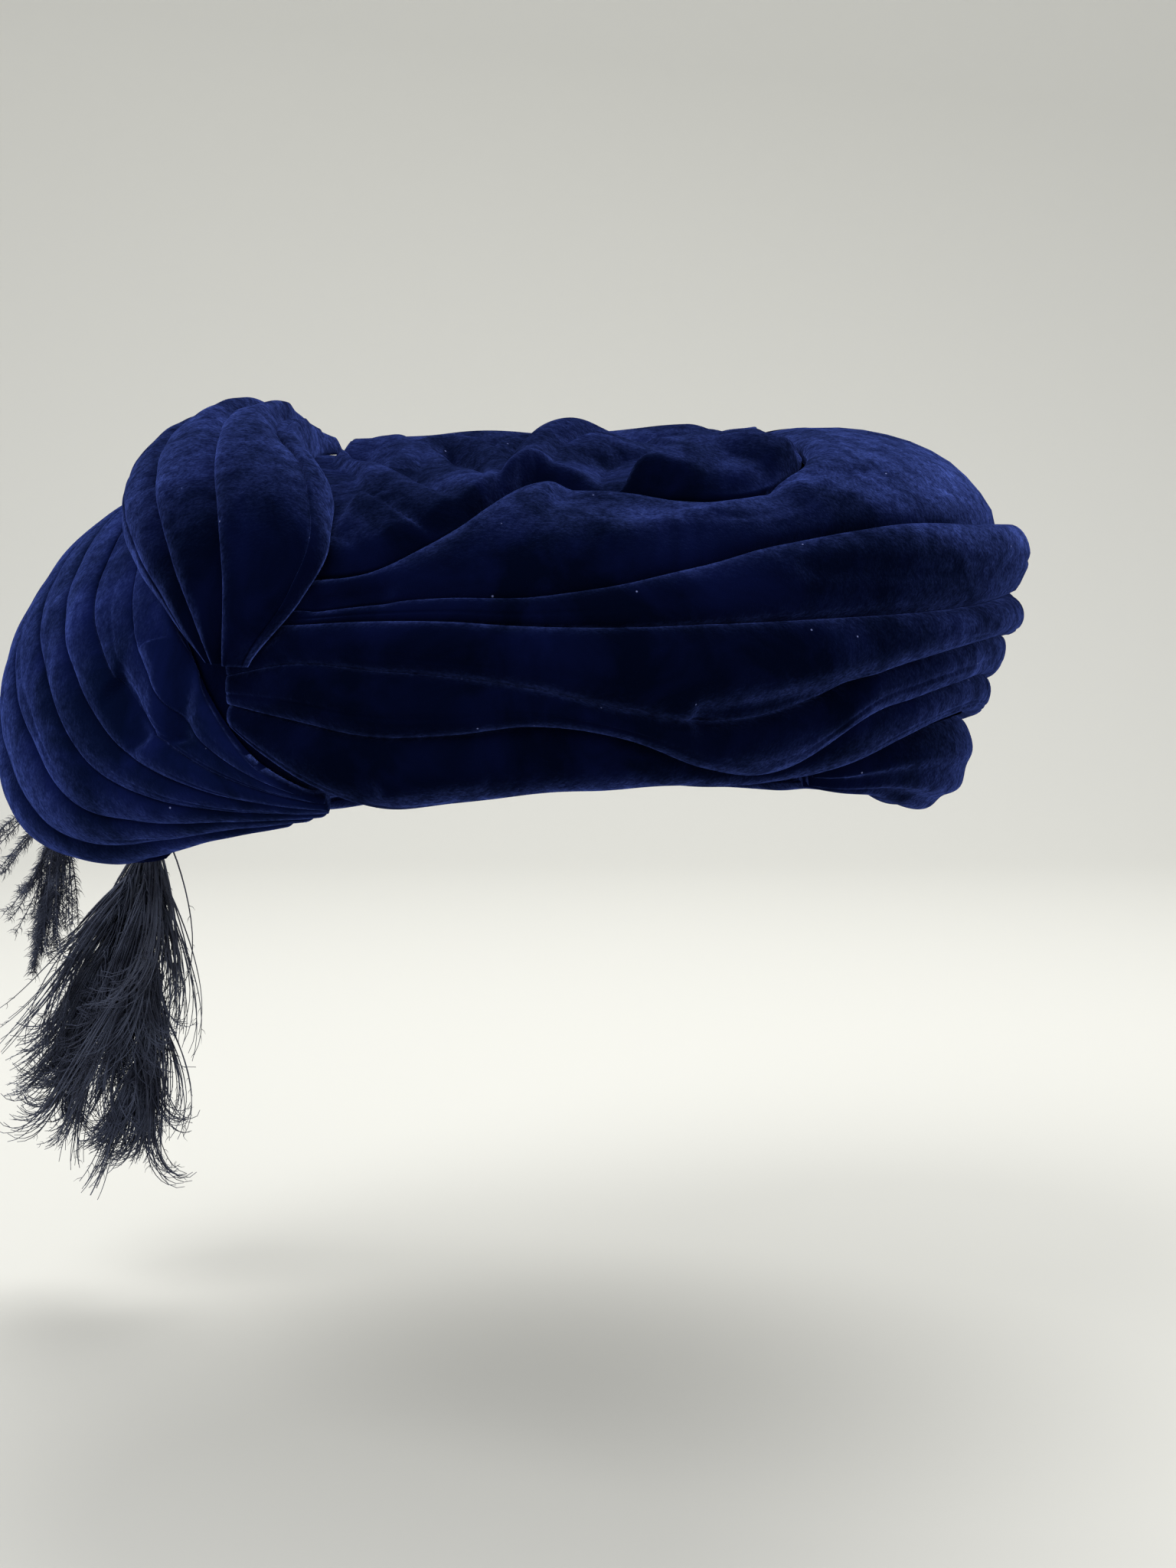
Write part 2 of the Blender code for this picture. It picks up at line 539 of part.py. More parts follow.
def main():
    for item in list(bpy.data.objects):
        bpy.data.objects.remove(item, do_unlink=True)
    build_crown()
    build_cap()
    cloth("front_drape", front_grid(FRONT_ALONG))
    cloth("side_drape", side_grid(SIDE_ALONG))
    cloth("back_drape", back_grid(BACK_ALONG))
    build_knot()
    build_tuck()
    plume("plume_hanging", HANGING_ROOT, PLUME_HANGING, PLUME_LENGTH, HANGING_TURN, HANGING_LOCKS)
    plume("plume_side", SIDE_ROOT, PLUME_SIDE, SPRAY_LENGTH, SIDE_TURN, SIDE_LOCKS)


main()
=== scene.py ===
"""Draped velvet cocktail hat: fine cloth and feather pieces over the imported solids, and a studio stage.

Metres, Z up, the front faces -Y. Azimuth is in degrees from the front and grows towards +X.
Climb runs from 0 at the edge of the head opening to 1 at the top of the crown.
Height is the distance outwards from the crown's outer face.
A place is a point of the crown seen flat from above: the opening's edge is a circle of radius 1.
"""

import bpy
import numpy as np
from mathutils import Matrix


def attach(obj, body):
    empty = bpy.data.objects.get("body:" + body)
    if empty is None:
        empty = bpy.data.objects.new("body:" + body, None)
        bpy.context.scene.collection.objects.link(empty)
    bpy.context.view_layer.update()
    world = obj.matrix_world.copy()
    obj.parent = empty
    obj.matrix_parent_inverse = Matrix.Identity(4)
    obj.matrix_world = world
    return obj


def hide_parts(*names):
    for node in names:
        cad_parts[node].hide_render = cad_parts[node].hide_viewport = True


bl_info = {
    "name": "Cocktail Hat",
    "version": (1, 0, 0),
    "blender": (4, 5, 0),
    "location": "3D View > Sidebar > Hat",
    "description": "Builds a draped velvet hat with a pleated swag, a knot and ostrich plumes",
    "category": "Object",
}

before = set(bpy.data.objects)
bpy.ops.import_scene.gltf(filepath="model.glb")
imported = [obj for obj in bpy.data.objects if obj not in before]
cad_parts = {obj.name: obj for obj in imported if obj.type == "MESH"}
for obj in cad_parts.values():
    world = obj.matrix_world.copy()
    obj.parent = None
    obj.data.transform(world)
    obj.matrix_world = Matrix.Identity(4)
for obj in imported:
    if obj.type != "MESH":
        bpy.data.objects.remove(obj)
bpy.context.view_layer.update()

# ---- Tables of the hat's form -------------------------------------------------------------------

# Form of the crown: where the lower and upper curves end and how full the upper one is
LOWER_END = 0.30
UPPER_END = 0.70
UPPER_FULL = 0.03
# Columns: azimuth, reach, height at the reach, height of the rim, crest radius, crest height and
# fullness below the reach; radii are shares of the hat's reach and heights of the hat's height
SECTIONS = np.array([
    (-180, 0.97, 0.30, -0.21, 0.58, 0.88, 0.20),
    (-135, 0.97, 0.12, -0.27, 0.53, 0.86, 0.20),
    (-90, 0.975, 0.03, -0.29, 0.455, 0.84, 0.25),
    (-60, 0.955, 0.11, -0.25, 0.48, 0.82, 0.25),
    (-35, 0.95, 0.28, -0.12, 0.52, 0.77, 0.25),
    (0, 0.93, 0.36, 0.01, 0.54, 0.72, 0.25),
    (45, 0.91, 0.47, 0.01, 0.56, 0.83, 0.15),
    (90, 0.895, 0.54, -0.10, 0.58, 0.92, 0.02),
    (135, 0.93, 0.44, -0.18, 0.58, 0.92, 0.10),
])

# Front drape. Columns: azimuth, then the climb of the top edge, four lips and the lower edge
FRONT_LIPS = np.array([
    (-28, 0.395, 0.368, 0.344, 0.288, 0.260, 0.233),
    (-20, 0.405, 0.362, 0.342, 0.293, 0.232, 0.140),
    (-13, 0.418, 0.370, 0.343, 0.282, 0.208, 0.066),
    (-6, 0.490, 0.373, 0.338, 0.271, 0.201, 0.048),
    (2, 0.610, 0.368, 0.323, 0.250, 0.203, 0.046),
    (11, 0.605, 0.375, 0.308, 0.215, 0.175, 0.042),
    (20, 0.550, 0.393, 0.299, 0.187, 0.115, 0.040),
    (30, 0.525, 0.412, 0.293, 0.198, 0.090, 0.035),
    (38, 0.555, 0.418, 0.289, 0.226, 0.170, 0.060),
    (47, 0.610, 0.416, 0.286, 0.241, 0.196, 0.130),
    (62, 0.710, 0.395, 0.283, 0.250, 0.212, 0.168),
    (80, 0.755, 0.380, 0.282, 0.245, 0.205, 0.160),
    (105, 0.755, 0.390, 0.295, 0.235, 0.190, 0.150),
])
# Columns: azimuth, then the height of each band between the lips, as a share of the fold height
FRONT_PEAKS = np.array([
    (-28, 0.32, 0.30, 0.34, 0.34, 0.34),
    (-16, 0.44, 0.36, 0.54, 0.52, 0.62),
    (2, 0.64, 0.44, 0.68, 0.64, 0.56),
    (20, 0.64, 0.60, 0.76, 0.62, 0.48),
    (47, 0.56, 0.72, 0.78, 0.48, 0.44),
    (80, 0.52, 0.88, 0.72, 0.50, 0.50),
    (105, 0.50, 0.62, 0.58, 0.48, 0.48),
])

# Side drape. One row for each lip from the outside in; columns: azimuth and climb at
# five stations from the crown down to the front hem
SIDE_LIPS = np.array([
    (-118, 0.520, -98, 0.290, -82, 0.140, -62, 0.072, -30, 0.036),
    (-110, 0.560, -86, 0.385, -69, 0.255, -56, 0.132, -26, 0.047),
    (-100, 0.600, -79, 0.430, -62, 0.300, -49, 0.168, -23, 0.058),
    (-90, 0.638, -71, 0.465, -56, 0.335, -44, 0.198, -21, 0.066),
    (-80, 0.652, -64, 0.490, -52, 0.360, -40, 0.218, -20, 0.084),
    (-71, 0.655, -56, 0.500, -47, 0.370, -36, 0.232, -20, 0.102),
    (-62, 0.640, -47, 0.480, -40, 0.355, -34, 0.252, -22, 0.130),
    (-52, 0.600, -39, 0.440, -34, 0.345, -31, 0.275, -26, 0.188),
])
SIDE_PEAKS = (0.56, 0.52, 0.50, 0.48, 0.50, 0.36, 0.44)
SIDE_FADE = (0.66, 0.76, 0.94, 0.95, 0.70)

# Back drape. One row for each lip from the hem up; columns: azimuth and climb at
# four stations from the right side round the back to the left side
BACK_LIPS = np.array([
    (105.7, 0.015, 165, 0.015, 225, 0.015, 292, 0.015),
    (105.7, 0.150, 160, 0.135, 220, 0.120, 275, 0.110),
    (105.7, 0.235, 158, 0.230, 214, 0.220, 264, 0.215),
    (105.7, 0.295, 156, 0.330, 210, 0.330, 256, 0.320),
    (105.7, 0.390, 154, 0.440, 206, 0.440, 248, 0.420),
    (105.7, 0.755, 152, 0.650, 200, 0.600, 239, 0.550),
])
BACK_PEAKS = (0.48, 0.50, 0.56, 0.54, 0.56)

# Crown drape. Columns: azimuth and climb of the edge on the left, over the knot
CAP_EDGE_LEFT = np.array([
    (239, 0.550), (242, 0.535), (250, 0.575), (260, 0.615), (270, 0.642),
    (280, 0.657), (290, 0.662), (298, 0.645), (306, 0.600), (318, 0.520), (332, 0.420),
])
# Climb that the drape keeps from its neighbours, and the distance, in metres, over which it rises
# from under the front drape's lip
CAP_EDGE_GAP = 0.008
CAP_EDGE_EASE = 0.006
# Azimuth of the front edge and of the back edge at the five stations from the knot to the right
CAP_FRONT = (-24, -6, 13, 38, 80)
CAP_BACK = (262, 244, 205, 150, 106)
# Height of the drape between its folds, as a share of the fold height
CAP_GROUND = 0.34
# Middle of the drape at the five stations; columns: azimuth and climb
CAP_MIDDLE = (-68, 0.680, -30, 0.800, 55, 0.905, 90, 0.860, 95, 0.771)
# Folds of the crown drape. Each has its lip's height, the reach of its face in front of the lip and
# of the drop behind it, as shares of the fold height, the share of its length over which it dies
# away, then azimuth and climb along the lip. The face is on the right of the way along the lip, seen
# from above
CAP_FOLDS = (
    (0.66, 1.00, 0.24, 0.12, (-84, 0.735, -66, 0.747, -58, 0.750, -24, 0.667, -14, 0.593, -9, 0.547,
                              -4, 0.520)),
    (0.60, 0.75, 0.20, 0.12, (-42, 0.640, -28, 0.593, -18, 0.547, -11, 0.483, -6, 0.450)),
    (0.52, 0.60, 0.18, 0.12, (-30, 0.545, -23, 0.533, -20, 0.513, -16, 0.490, -12, 0.443, -9, 0.410)),
    (0.44, 0.45, 0.16, 0.12, (-24, 0.485, -20, 0.470, -17, 0.450, -14, 0.425, -12, 0.405)),
    (0.80, 1.10, 0.30, 0.12, (-110, 0.800, -85, 0.835, -62, 0.837, -28, 0.800, -10, 0.683, -3, 0.567,
                              0, 0.530)),
    (0.56, 0.50, 0.16, 0.12, (-19, 0.562, -12, 0.557, -8, 0.560, -3, 0.573, 2, 0.560)),
    (0.88, 0.80, 0.36, 0.26, (-21, 0.637, -34, 0.803, -36, 0.867, -20, 0.857, -6, 0.803, 1, 0.623,
                              3, 0.560)),
    (0.82, 0.80, 0.35, 0.40, (-3, 0.540, -3, 0.583, -8, 0.830, 0, 0.907, 22, 0.913, 50, 0.940)),
    (1.16, 0.80, 0.70, 0.45, (2, 0.520, 2, 0.573, 5, 0.787, 10, 0.843, 35, 0.903, 60, 0.890,
                              70, 0.850)),
    (0.86, 1.10, 0.30, 0.35, (4, 0.540, 4, 0.573, 10, 0.787, 20, 0.833, 29, 0.850, 42, 0.838,
                              58, 0.810)),
    (0.94, 1.30, 0.34, 0.34, (5, 0.500, 11, 0.527, 14, 0.563, 20, 0.607, 30, 0.663, 34, 0.670,
                              39, 0.633, 42, 0.587, 43, 0.553, 44, 0.520)),
    (0.60, 1.00, 0.24, 0.34, (16, 0.520, 22, 0.557, 24, 0.577, 28, 0.593, 33, 0.613, 40, 0.613,
                              44, 0.603, 47, 0.590, 50, 0.560)),
    (0.56, 1.60, 0.70, 0.20, (52, 0.620, 62, 0.735, 75, 0.780, 88, 0.768, 98, 0.765)),
    (0.50, 1.40, 0.60, 0.30, (66, 0.860, 80, 0.830, 92, 0.795, 100, 0.770)),
    (0.74, 1.60, 0.50, 0.15, (-82, 0.682, -68, 0.845, 170, 0.940, 118, 0.855, 102, 0.775)),
    (0.66, 1.60, 0.50, 0.15, (-91, 0.665, -105, 0.790, -172, 0.820, 136, 0.790, 105, 0.768)),
    (0.56, 1.20, 0.50, 0.15, (-96, 0.640, -114, 0.690, -150, 0.690, 170, 0.690, 130, 0.715)),
)

# Grooves and ridges worked into the front drape. Each has its height and half width as shares of
# the fold height, then azimuth and climb along it
FRONT_MARKS = (
    (-0.28, 0.90, (4, 0.575, 10, 0.550, 16, 0.525, 22, 0.515, 28, 0.525, 34, 0.550)),
    (-0.10, 0.14, (31, 0.523, 38, 0.529, 44, 0.526, 48, 0.522, 54, 0.501)),
    (-0.30, 0.30, (17, 0.200, 21, 0.203, 26, 0.207, 30, 0.213, 34, 0.220, 40, 0.230)),
    (-0.20, 0.18, (-20, 0.372, -18, 0.374, -16, 0.377, -14, 0.380, -10, 0.384)),
    (0.14, 0.26, (-13, 0.142, -11, 0.150, -8, 0.153, -4, 0.153, -2, 0.143)),
    (-0.09, 0.16, (28, 0.358, 36, 0.350, 44, 0.338, 58, 0.318, 70, 0.318)),
    (-0.06, 0.14, (40, 0.500, 52, 0.480, 66, 0.470, 84, 0.500)),
    (0.10, 0.30, (8, 0.446, 16, 0.460, 22, 0.478, 28, 0.505, 32, 0.525)),
)
# The same for the side drape
SIDE_MARKS = (
    (0.12, 0.34, (-39, 0.370, -38, 0.353, -36, 0.310, -36, 0.277, -36, 0.255, -34, 0.240)),
    (-0.26, 0.34, (-43, 0.310, -41, 0.290, -40, 0.270, -39, 0.250, -38, 0.230)),
    (-0.24, 0.30, (-34, 0.225, -34, 0.243, -33, 0.283, -32, 0.323, -31, 0.350)),
)

# Knot. One row for each station from the crown to the lower point; columns: azimuth and climb of the
# left edge and of the right edge, height of the middle as a share of the knot height
KNOT_STATIONS = np.array([
    (-96, 0.680, -88, 0.770, 0.563),
    (-77, 0.620, -51, 0.705, 0.930),
    (-60, 0.540, -26, 0.585, 1.000),
    (-46, 0.462, -19, 0.462, 0.930),
    (-36, 0.382, -20, 0.372, 0.746),
    (-29, 0.302, -25, 0.294, 0.549),
])
KNOT_ARCH_POWER = 0.45
# Lips of the knot's pleats. One row for each lip from the left edge; columns: share of the way across
# at the knot's stations, then the lip's rise over the pleat beside it as a share of the knot height
KNOT_LIPS = np.array([
    (0.000, 0.000, 0.000, 0.000, 0.000, 0.000, 0.04),
    (0.080, 0.070, 0.060, 0.080, 0.085, 0.100, 0.13),
    (0.300, 0.290, 0.285, 0.280, 0.290, 0.360, 0.18),
    (0.560, 0.550, 0.545, 0.558, 0.590, 0.650, 0.20),
    (0.740, 0.760, 0.850, 0.940, 0.960, 0.970, 0.10),
])
# Fullness of the pleats' faces at the stations, as a share of the knot height
KNOT_PUFF = (0.09, 0.20, 0.09, 0.04, 0.03, 0.01)

# Tucked end at the lower right. Columns: azimuth, climb of its upper and lower edges, height as a
# share of the tuck height
TUCK_STATIONS = np.array([
    (40, 0.056, 0.010, 0.370),
    (52, 0.130, 0.010, 0.667),
    (68, 0.158, 0.010, 1.000),
    (84, 0.150, 0.010, 0.889),
    (105.45, 0.138, 0.015, 0.463),
])
TUCK_PLEATS = 4
TUCK_PLEAT_HEIGHT = 0.0012
TUCK_ARCH_POWER = 0.6

# Plumes. Root: azimuth, climb and height as a share of the fold height. Turn: degrees about Z from
# a plane that faces the front
HANGING_ROOT = (-120, 0.14, 0.68)
SIDE_ROOT = (-112, 0.22, 0.78)
HANGING_TURN = -20.0
SIDE_TURN = -50.0

# Steps along and across each fine grid
ALONG = {"crown": 160, "cap": 216, "front": 240, "side": 190, "back": 200, "knot": 150, "tuck": 110}
FACE_STEPS, LIP_STEPS = 11, 11
FIRST_FACE_STEPS = 15
CROWN_UP = 50
CAP_ACROSS = 170
CROWN_TOP_CLIMB = 0.985
KNOT_FACE_STEPS = 18
TUCK_ACROSS = 90
NORMAL_STEP = 0.004
LIP_TURN = np.radians(112.0)

# Small lengths in metres: the thinnest cloth edge, the least rise of a fold over flat cloth, the
# longest of the soft waves and the height over which they set in
LEAST_WALL = 0.0001
LEAST_FOLD = 0.0004
WAVE_LENGTH = 0.030
WAVE_EASE = 0.002
# The same for the knot: how far its edge and its thinnest cloth stand over its underside, the longest
# wave, and how far the cloth under it is held down round it, the ease there and the gap left
KNOT_EDGE = 0.0006
KNOT_LEAST = 0.0003
KNOT_WAVE_LENGTH = 0.018
KNOT_TUCK, KNOT_FADE, KNOT_GAP = 0.0006, 0.0026, 0.0003

# Stage. The point that the camera looks at; each light's name, place, size in metres and share of
# the key light's power
CAMERA_AIM = (0.0146, 0.0, -0.009)
LIGHTS = (
    ("key light", (-0.75, -0.75, 1.15), 1.1, 1.0),
    ("fill light", (1.05, -0.85, 0.45), 1.2, 0.45),
    ("top light", (0.10, 0.55, 1.05), 1.0, 0.9),
)
STUDIO_COLOUR, STUDIO_STRENGTH = "#e4e6ea", 0.75


def linear(hex_colour):
    """Turns an sRGB hex colour into linear red, green and blue."""
    value = np.array([int(hex_colour[i:i + 2], 16) for i in (1, 3, 5)]) / 255.0
    return tuple(np.where(value <= 0.04045, value / 12.92, ((value + 0.055) / 1.055)**2.4).tolist())


# ---- Sizes and colours a user would change ------------------------------------------------------

def length(name, description, value, least=-10.0, digits=4):
    """A length in metres that a user may change."""
    return bpy.props.FloatProperty(name=name, description=description, default=value, min=least,
                                   unit="LENGTH", precision=digits)


def colour(name, description, hex_colour):
    """A colour that a user may change, given as sRGB hex."""
    return bpy.props.FloatVectorProperty(name=name, description=description, subtype="COLOR", size=3,
                                         min=0, max=1, default=linear(hex_colour))


class HatSizes(bpy.types.PropertyGroup):
    """Sizes of the hat."""
    head_half_width: length("Head half width", "Half the width of the head opening", 0.078, 0.05)
    head_half_length: length("Head half length", "Half the length of the head opening", 0.096, 0.06)
    hat_reach: length("Hat reach", "Reach of the crown from its middle", 0.120, 0.06)
    hat_height: length("Hat height", "Height that the crown's sections are shares of", 0.075, 0.03)
    apex_height: length("Apex height", "Height of the crown's top over the opening", 0.066, 0.03)
    crown_wall: length("Crown wall", "Thickness of the hollow crown", 0.0025, 0.001)
    crown_sink: length("Crown sink", "How far the crown lies under its outer face", 0.0007, 0.0)
    cloth_rest: length("Cloth rest", "Height of flat cloth over the crown", 0.0026, 0.001)
    piece_gap: length("Piece gap", "Clearance under the cloth", 0.0006, 0.0002)
    lip_reach: length("Lip reach", "How far a fold's rolled lip reaches down its face",
                      0.0062, 0.0005)
    lip_depth: length("Lip depth", "Depth of a fold's rolled lip", 0.0040, 0.0005)
    knot_clearance: length("Knot clearance", "Height of the knot's underside over the crown",
                           0.0045, 0.002)
    fold_height: length("Fold height", "Height that the tables of folds are shares of",
                        0.010, 0.004)
    knot_height: length("Knot height", "Height of the knot's middle over the crown", 0.0142, 0.006)
    tuck_height: length("Tuck height", "Height of the tucked end over the crown", 0.0108, 0.004)
    plume_length: length("Plume length", "Length of the hanging plume", 0.094, 0.03)
    spray_length: length("Side plume length", "Length of the plume at the side", 0.050, 0.02)
    knot_lip_radius: length("Knot lip radius", "Radius of the lips of the knot's pleats",
                            0.0030, 0.0005)
    wave_height: length("Wave height", "Height of the soft waves in the cloth",
                        0.00022, 0.0, digits=5)
    barb_radius: length("Barb radius", "Radius of a plume's barb at its root",
                        0.00030, 0.0001, digits=5)


class HatColours(bpy.types.PropertyGroup):
    """Colours of the velvet and the feathers."""
    velvet: colour("Velvet", "Velvet seen straight on, where the pile swallows the light",
                   "#020515")
    velvet_brushed: colour("Brushed velvet", "Velvet where the pile is brushed over", "#060b2a")
    velvet_sheen: colour("Velvet sheen", "Tint of the light that the pile's tips throw back",
                         "#667fe8")
    feather: colour("Feather", "Dyed ostrich feather", "#1c2133")
    feather_light: colour("Feather tips", "Paler tips of the barbs", "#4a5166")


class HatStage(bpy.types.PropertyGroup):
    """Camera, floor and lights."""
    distance: bpy.props.FloatProperty(
        name="Camera distance", description="Distance from the camera to its aim",
        default=0.560, min=0.1, unit="LENGTH")
    elevation: bpy.props.FloatProperty(
        name="Camera elevation", description="Angle of the camera above the horizon",
        default=float(np.radians(5.0)), subtype="ANGLE")
    focal: bpy.props.FloatProperty(
        name="Focal length", description="Focal length on a sensor 36 mm wide",
        default=3111.0 / 1536.0 * 36.0, min=10.0, unit="CAMERA")
    floor_height: length("Floor height", "Height of the floor under the hanging plume", -0.150)
    floor_colour: colour("Floor", "Pale matt floor and backdrop", "#d5d4cd")
    light_power: bpy.props.FloatProperty(
        name="Light power", description="Power of the key light in watts",
        default=12.0, min=0.0)


def sizes():
    """The hat's sizes as the user set them."""
    return bpy.context.scene.hat_sizes


def colours():
    """The hat's colours as the user set them."""
    return bpy.context.scene.hat_colours


# ---- Surfaces -----------------------------------------------------------------------------------

def smooth(stations, values, at):
    """Curve through table rows: a cubic between rows with slopes taken from their neighbours."""
    stations = np.asarray(stations, float)
    values = np.asarray(values, float)
    at = np.asarray(at, float)
    slopes = np.gradient(values, stations, axis=0)
    i = np.clip(np.searchsorted(stations, at, side="right") - 1, 0, len(stations) - 2)
    span = stations[i + 1] - stations[i]
    t = np.clip((at - stations[i]) / span, 0.0, 1.0)
    if values.ndim > 1:
        t = t[..., None]
        span = span[..., None]
    return ((2 * t**3 - 3 * t**2 + 1) * values[i] + (t**3 - 2 * t**2 + t) * span * slopes[i]
            + (3 * t**2 - 2 * t**3) * values[i + 1] + (t**3 - t**2) * span * slopes[i + 1])


def section(azimuth):
    """Sizes of the crown's section at an azimuth, read from SECTIONS as a ring."""
    rows = np.concatenate([SECTIONS, SECTIONS, SECTIONS])
    rows[:len(SECTIONS), 0] -= 360.0
    rows[-len(SECTIONS):, 0] += 360.0
    turn = (np.asarray(azimuth, float) + 180.0) % 360.0 - 180.0
    found = smooth(rows[:, 0], rows[:, 1:], turn)
    return [found[..., k] for k in range(6)]


def crown_face(azimuth, climb):
    """Point of the crown's outer face: an elliptic arc from the opening's edge out to the reach, a
    second one from there in to the crest, then a cosine rise to the top."""
    size = sizes()
    reach, reach_z, rim_z, crest, crest_z, full = section(azimuth)
    reach, crest = reach * size.hat_reach, crest * size.hat_reach
    reach_z, rim_z, crest_z = (z * size.hat_height for z in (reach_z, rim_z, crest_z))
    a = np.radians(azimuth)
    rim = (size.head_half_width * size.head_half_length
           / np.hypot(size.head_half_length * np.sin(a), size.head_half_width * np.cos(a)))
    low = 0.5 * np.pi * np.clip(climb / LOWER_END - 1.0, -1.0, 0.0)
    up = 0.5 * np.pi * np.clip((climb - LOWER_END) / (UPPER_END - LOWER_END), 0.0, 1.0)
    over = np.clip((climb - UPPER_END) / (1.0 - UPPER_END), 0.0, 1.0)
    low_r = rim + (reach - rim) * np.cos(low) * (1.0 + full * np.sin(low)**2)
    low_z = reach_z + (reach_z - rim_z) * np.sin(low) * (1.0 + full * np.cos(low)**2)
    up_r = crest + (reach - crest) * np.cos(up) * (1.0 + UPPER_FULL * np.sin(up)**2)
    up_z = reach_z + (crest_z - reach_z) * np.sin(up) * (1.0 + UPPER_FULL * np.cos(up)**2)
    top_r = crest * (1.0 - over)
    top_z = crest_z + (size.apex_height - crest_z) * 0.5 * (1.0 - np.cos(np.pi * over))
    radius = np.where(climb < LOWER_END, low_r, np.where(climb < UPPER_END, up_r, top_r))
    z = np.where(climb < LOWER_END, low_z, np.where(climb < UPPER_END, up_z, top_z))
    return np.stack([radius * np.sin(a), -radius * np.cos(a), z], -1)


def place_at(azimuth, climb):
    """Flat place of an azimuth and climb: 1 less the climb is the distance from the middle."""
    a = np.radians(azimuth)
    out = 1.0 - np.asarray(climb, float)
    return np.stack([out * np.sin(a), -out * np.cos(a)], -1)


def places(rows):
    """Flat places of rows that hold azimuth and climb in pairs."""
    rows = np.asarray(rows, float).reshape(-1, 2)
    return place_at(rows[:, 0], rows[:, 1])


def crown_at(place):
    """Point of the crown's outer face under a flat place."""
    far = np.hypot(place[..., 0], place[..., 1])
    return crown_face(np.degrees(np.arctan2(place[..., 0], -place[..., 1])),
                      1.0 - np.minimum(far, 1.0))


def over(place, height=0.0):
    """Point at a height over a flat place, along the crown's normal there."""
    far = np.maximum(np.hypot(place[..., 0], place[..., 1]), 10 * NORMAL_STEP)
    near = place * (1.0 - NORMAL_STEP / far)[..., None]
    east, north = np.array((NORMAL_STEP, 0.0)), np.array((0.0, NORMAL_STEP))
    normal = np.cross(crown_at(near + east) - crown_at(near - east),
                      crown_at(near + north) - crown_at(near - north))
    normal /= np.linalg.norm(normal, axis=-1, keepdims=True)
    return crown_at(place) + normal * np.asarray(height, float)[..., None]


def beside(points, path):
    """Distance to a path of straight legs, the nearest leg and the share of the way along the path."""
    start, leg = path[:-1], np.diff(path, axis=0)
    to = points[..., None, :] - start
    share = np.clip((to * leg).sum(-1) / (leg**2).sum(-1), 0.0, 1.0)
    distance = np.linalg.norm(to - share[..., None] * leg, axis=-1)
    nearest = distance.argmin(-1)
    share = np.take_along_axis(share, nearest[..., None], -1)[..., 0]
    return distance.min(-1), nearest, (nearest + share) / len(leg)


def path_places(rows, count):
    """Flat places along a path through rows of azimuth and climb, drawn smooth as seen from above."""
    flat = places(rows)
    return smooth(np.arange(len(flat)), flat, np.linspace(0, len(flat) - 1, count))


def waves(points, seed, longest, height):
    """Soft unevenness of hand-draped cloth: sixteen sine waves of mixed directions and lengths, from a
    third of the longest up, each as high as its length allows."""
    chance = np.random.default_rng(seed)
    total = np.zeros(points.shape[:-1])
    for _ in range(16):
        way = chance.normal(size=3)
        way /= np.linalg.norm(way)
        length = longest * chance.uniform(0.33, 1.0)
        total += (length / longest) * np.sin(points @ way * (2 * np.pi / length)
                                             + chance.uniform(0, 2 * np.pi))
    return total * height / 2.5


def shallow_lines(shape, seed, count, depth):
    """Faint creases that follow the folds: narrow Gaussian valleys that wander slowly across a band
    of the cloth. Gives a height, in metres, for each station and each share across."""
    along, across = shape
    chance = np.random.default_rng(seed)
    t = np.linspace(0.0, 1.0, len(along))[:, None]
    total = np.zeros(across.shape)
    for _ in range(count):
        middle = (chance.uniform(0.25, 0.85) + 0.10 * np.sin(2 * np.pi * (t * chance.uniform(0.4, 1.2)
                                                                          + chance.uniform())))
        strength = np.clip(0.5 + 0.8 * np.sin(2 * np.pi * (t * chance.uniform(0.6, 1.8)
                                                           + chance.uniform())), 0.0, 1.0)
        total -= depth * strength * np.exp(-((across - middle) / chance.uniform(0.03, 0.07))**2)
    return total


def fold(low, high, peak, base, steps, power=0.8, seed=0, lines=2, line_depth=0.0003):
    """Rows of place and height across one fold, from the lip below it to its own lip.

    The face climbs from the base as a power of a sine. The lip is a quarter of an ellipse that
    starts level at the peak, as deep as the lip's depth, and turns a little past upright, so that it
    tucks in over the next fold. It takes up less than half of a fold's width and nine tenths of its
    rise.
    """
    spread = np.maximum(np.linalg.norm(crown_at(high) - crown_at(low), axis=-1), 1e-4)
    arc = (np.minimum(sizes().lip_reach, 0.48 * spread) / spread)[:, None]
    depth = np.minimum(sizes().lip_depth, 0.90 * (peak - base))[:, None]
    x = np.linspace(0.0, 1.0, steps)[None, :]
    face_share = x * (1.0 - arc)
    face = base + (peak - base)[:, None] * np.sin(0.5 * np.pi * x)**power
    face = face + shallow_lines((low, x + 0 * arc), seed, lines, line_depth)
    turn = np.linspace(0.0, LIP_TURN, LIP_STEPS)[None, 1:]
    lip_share = 1.0 - arc + arc * np.sin(turn)
    lip = peak[:, None] - depth * (1.0 - np.cos(turn))
    share = np.concatenate([face_share, lip_share], 1)
    height = np.concatenate([face, lip], 1)
    place = low[:, None, :] + (high - low)[:, None, :] * share[..., None]
    return place, height


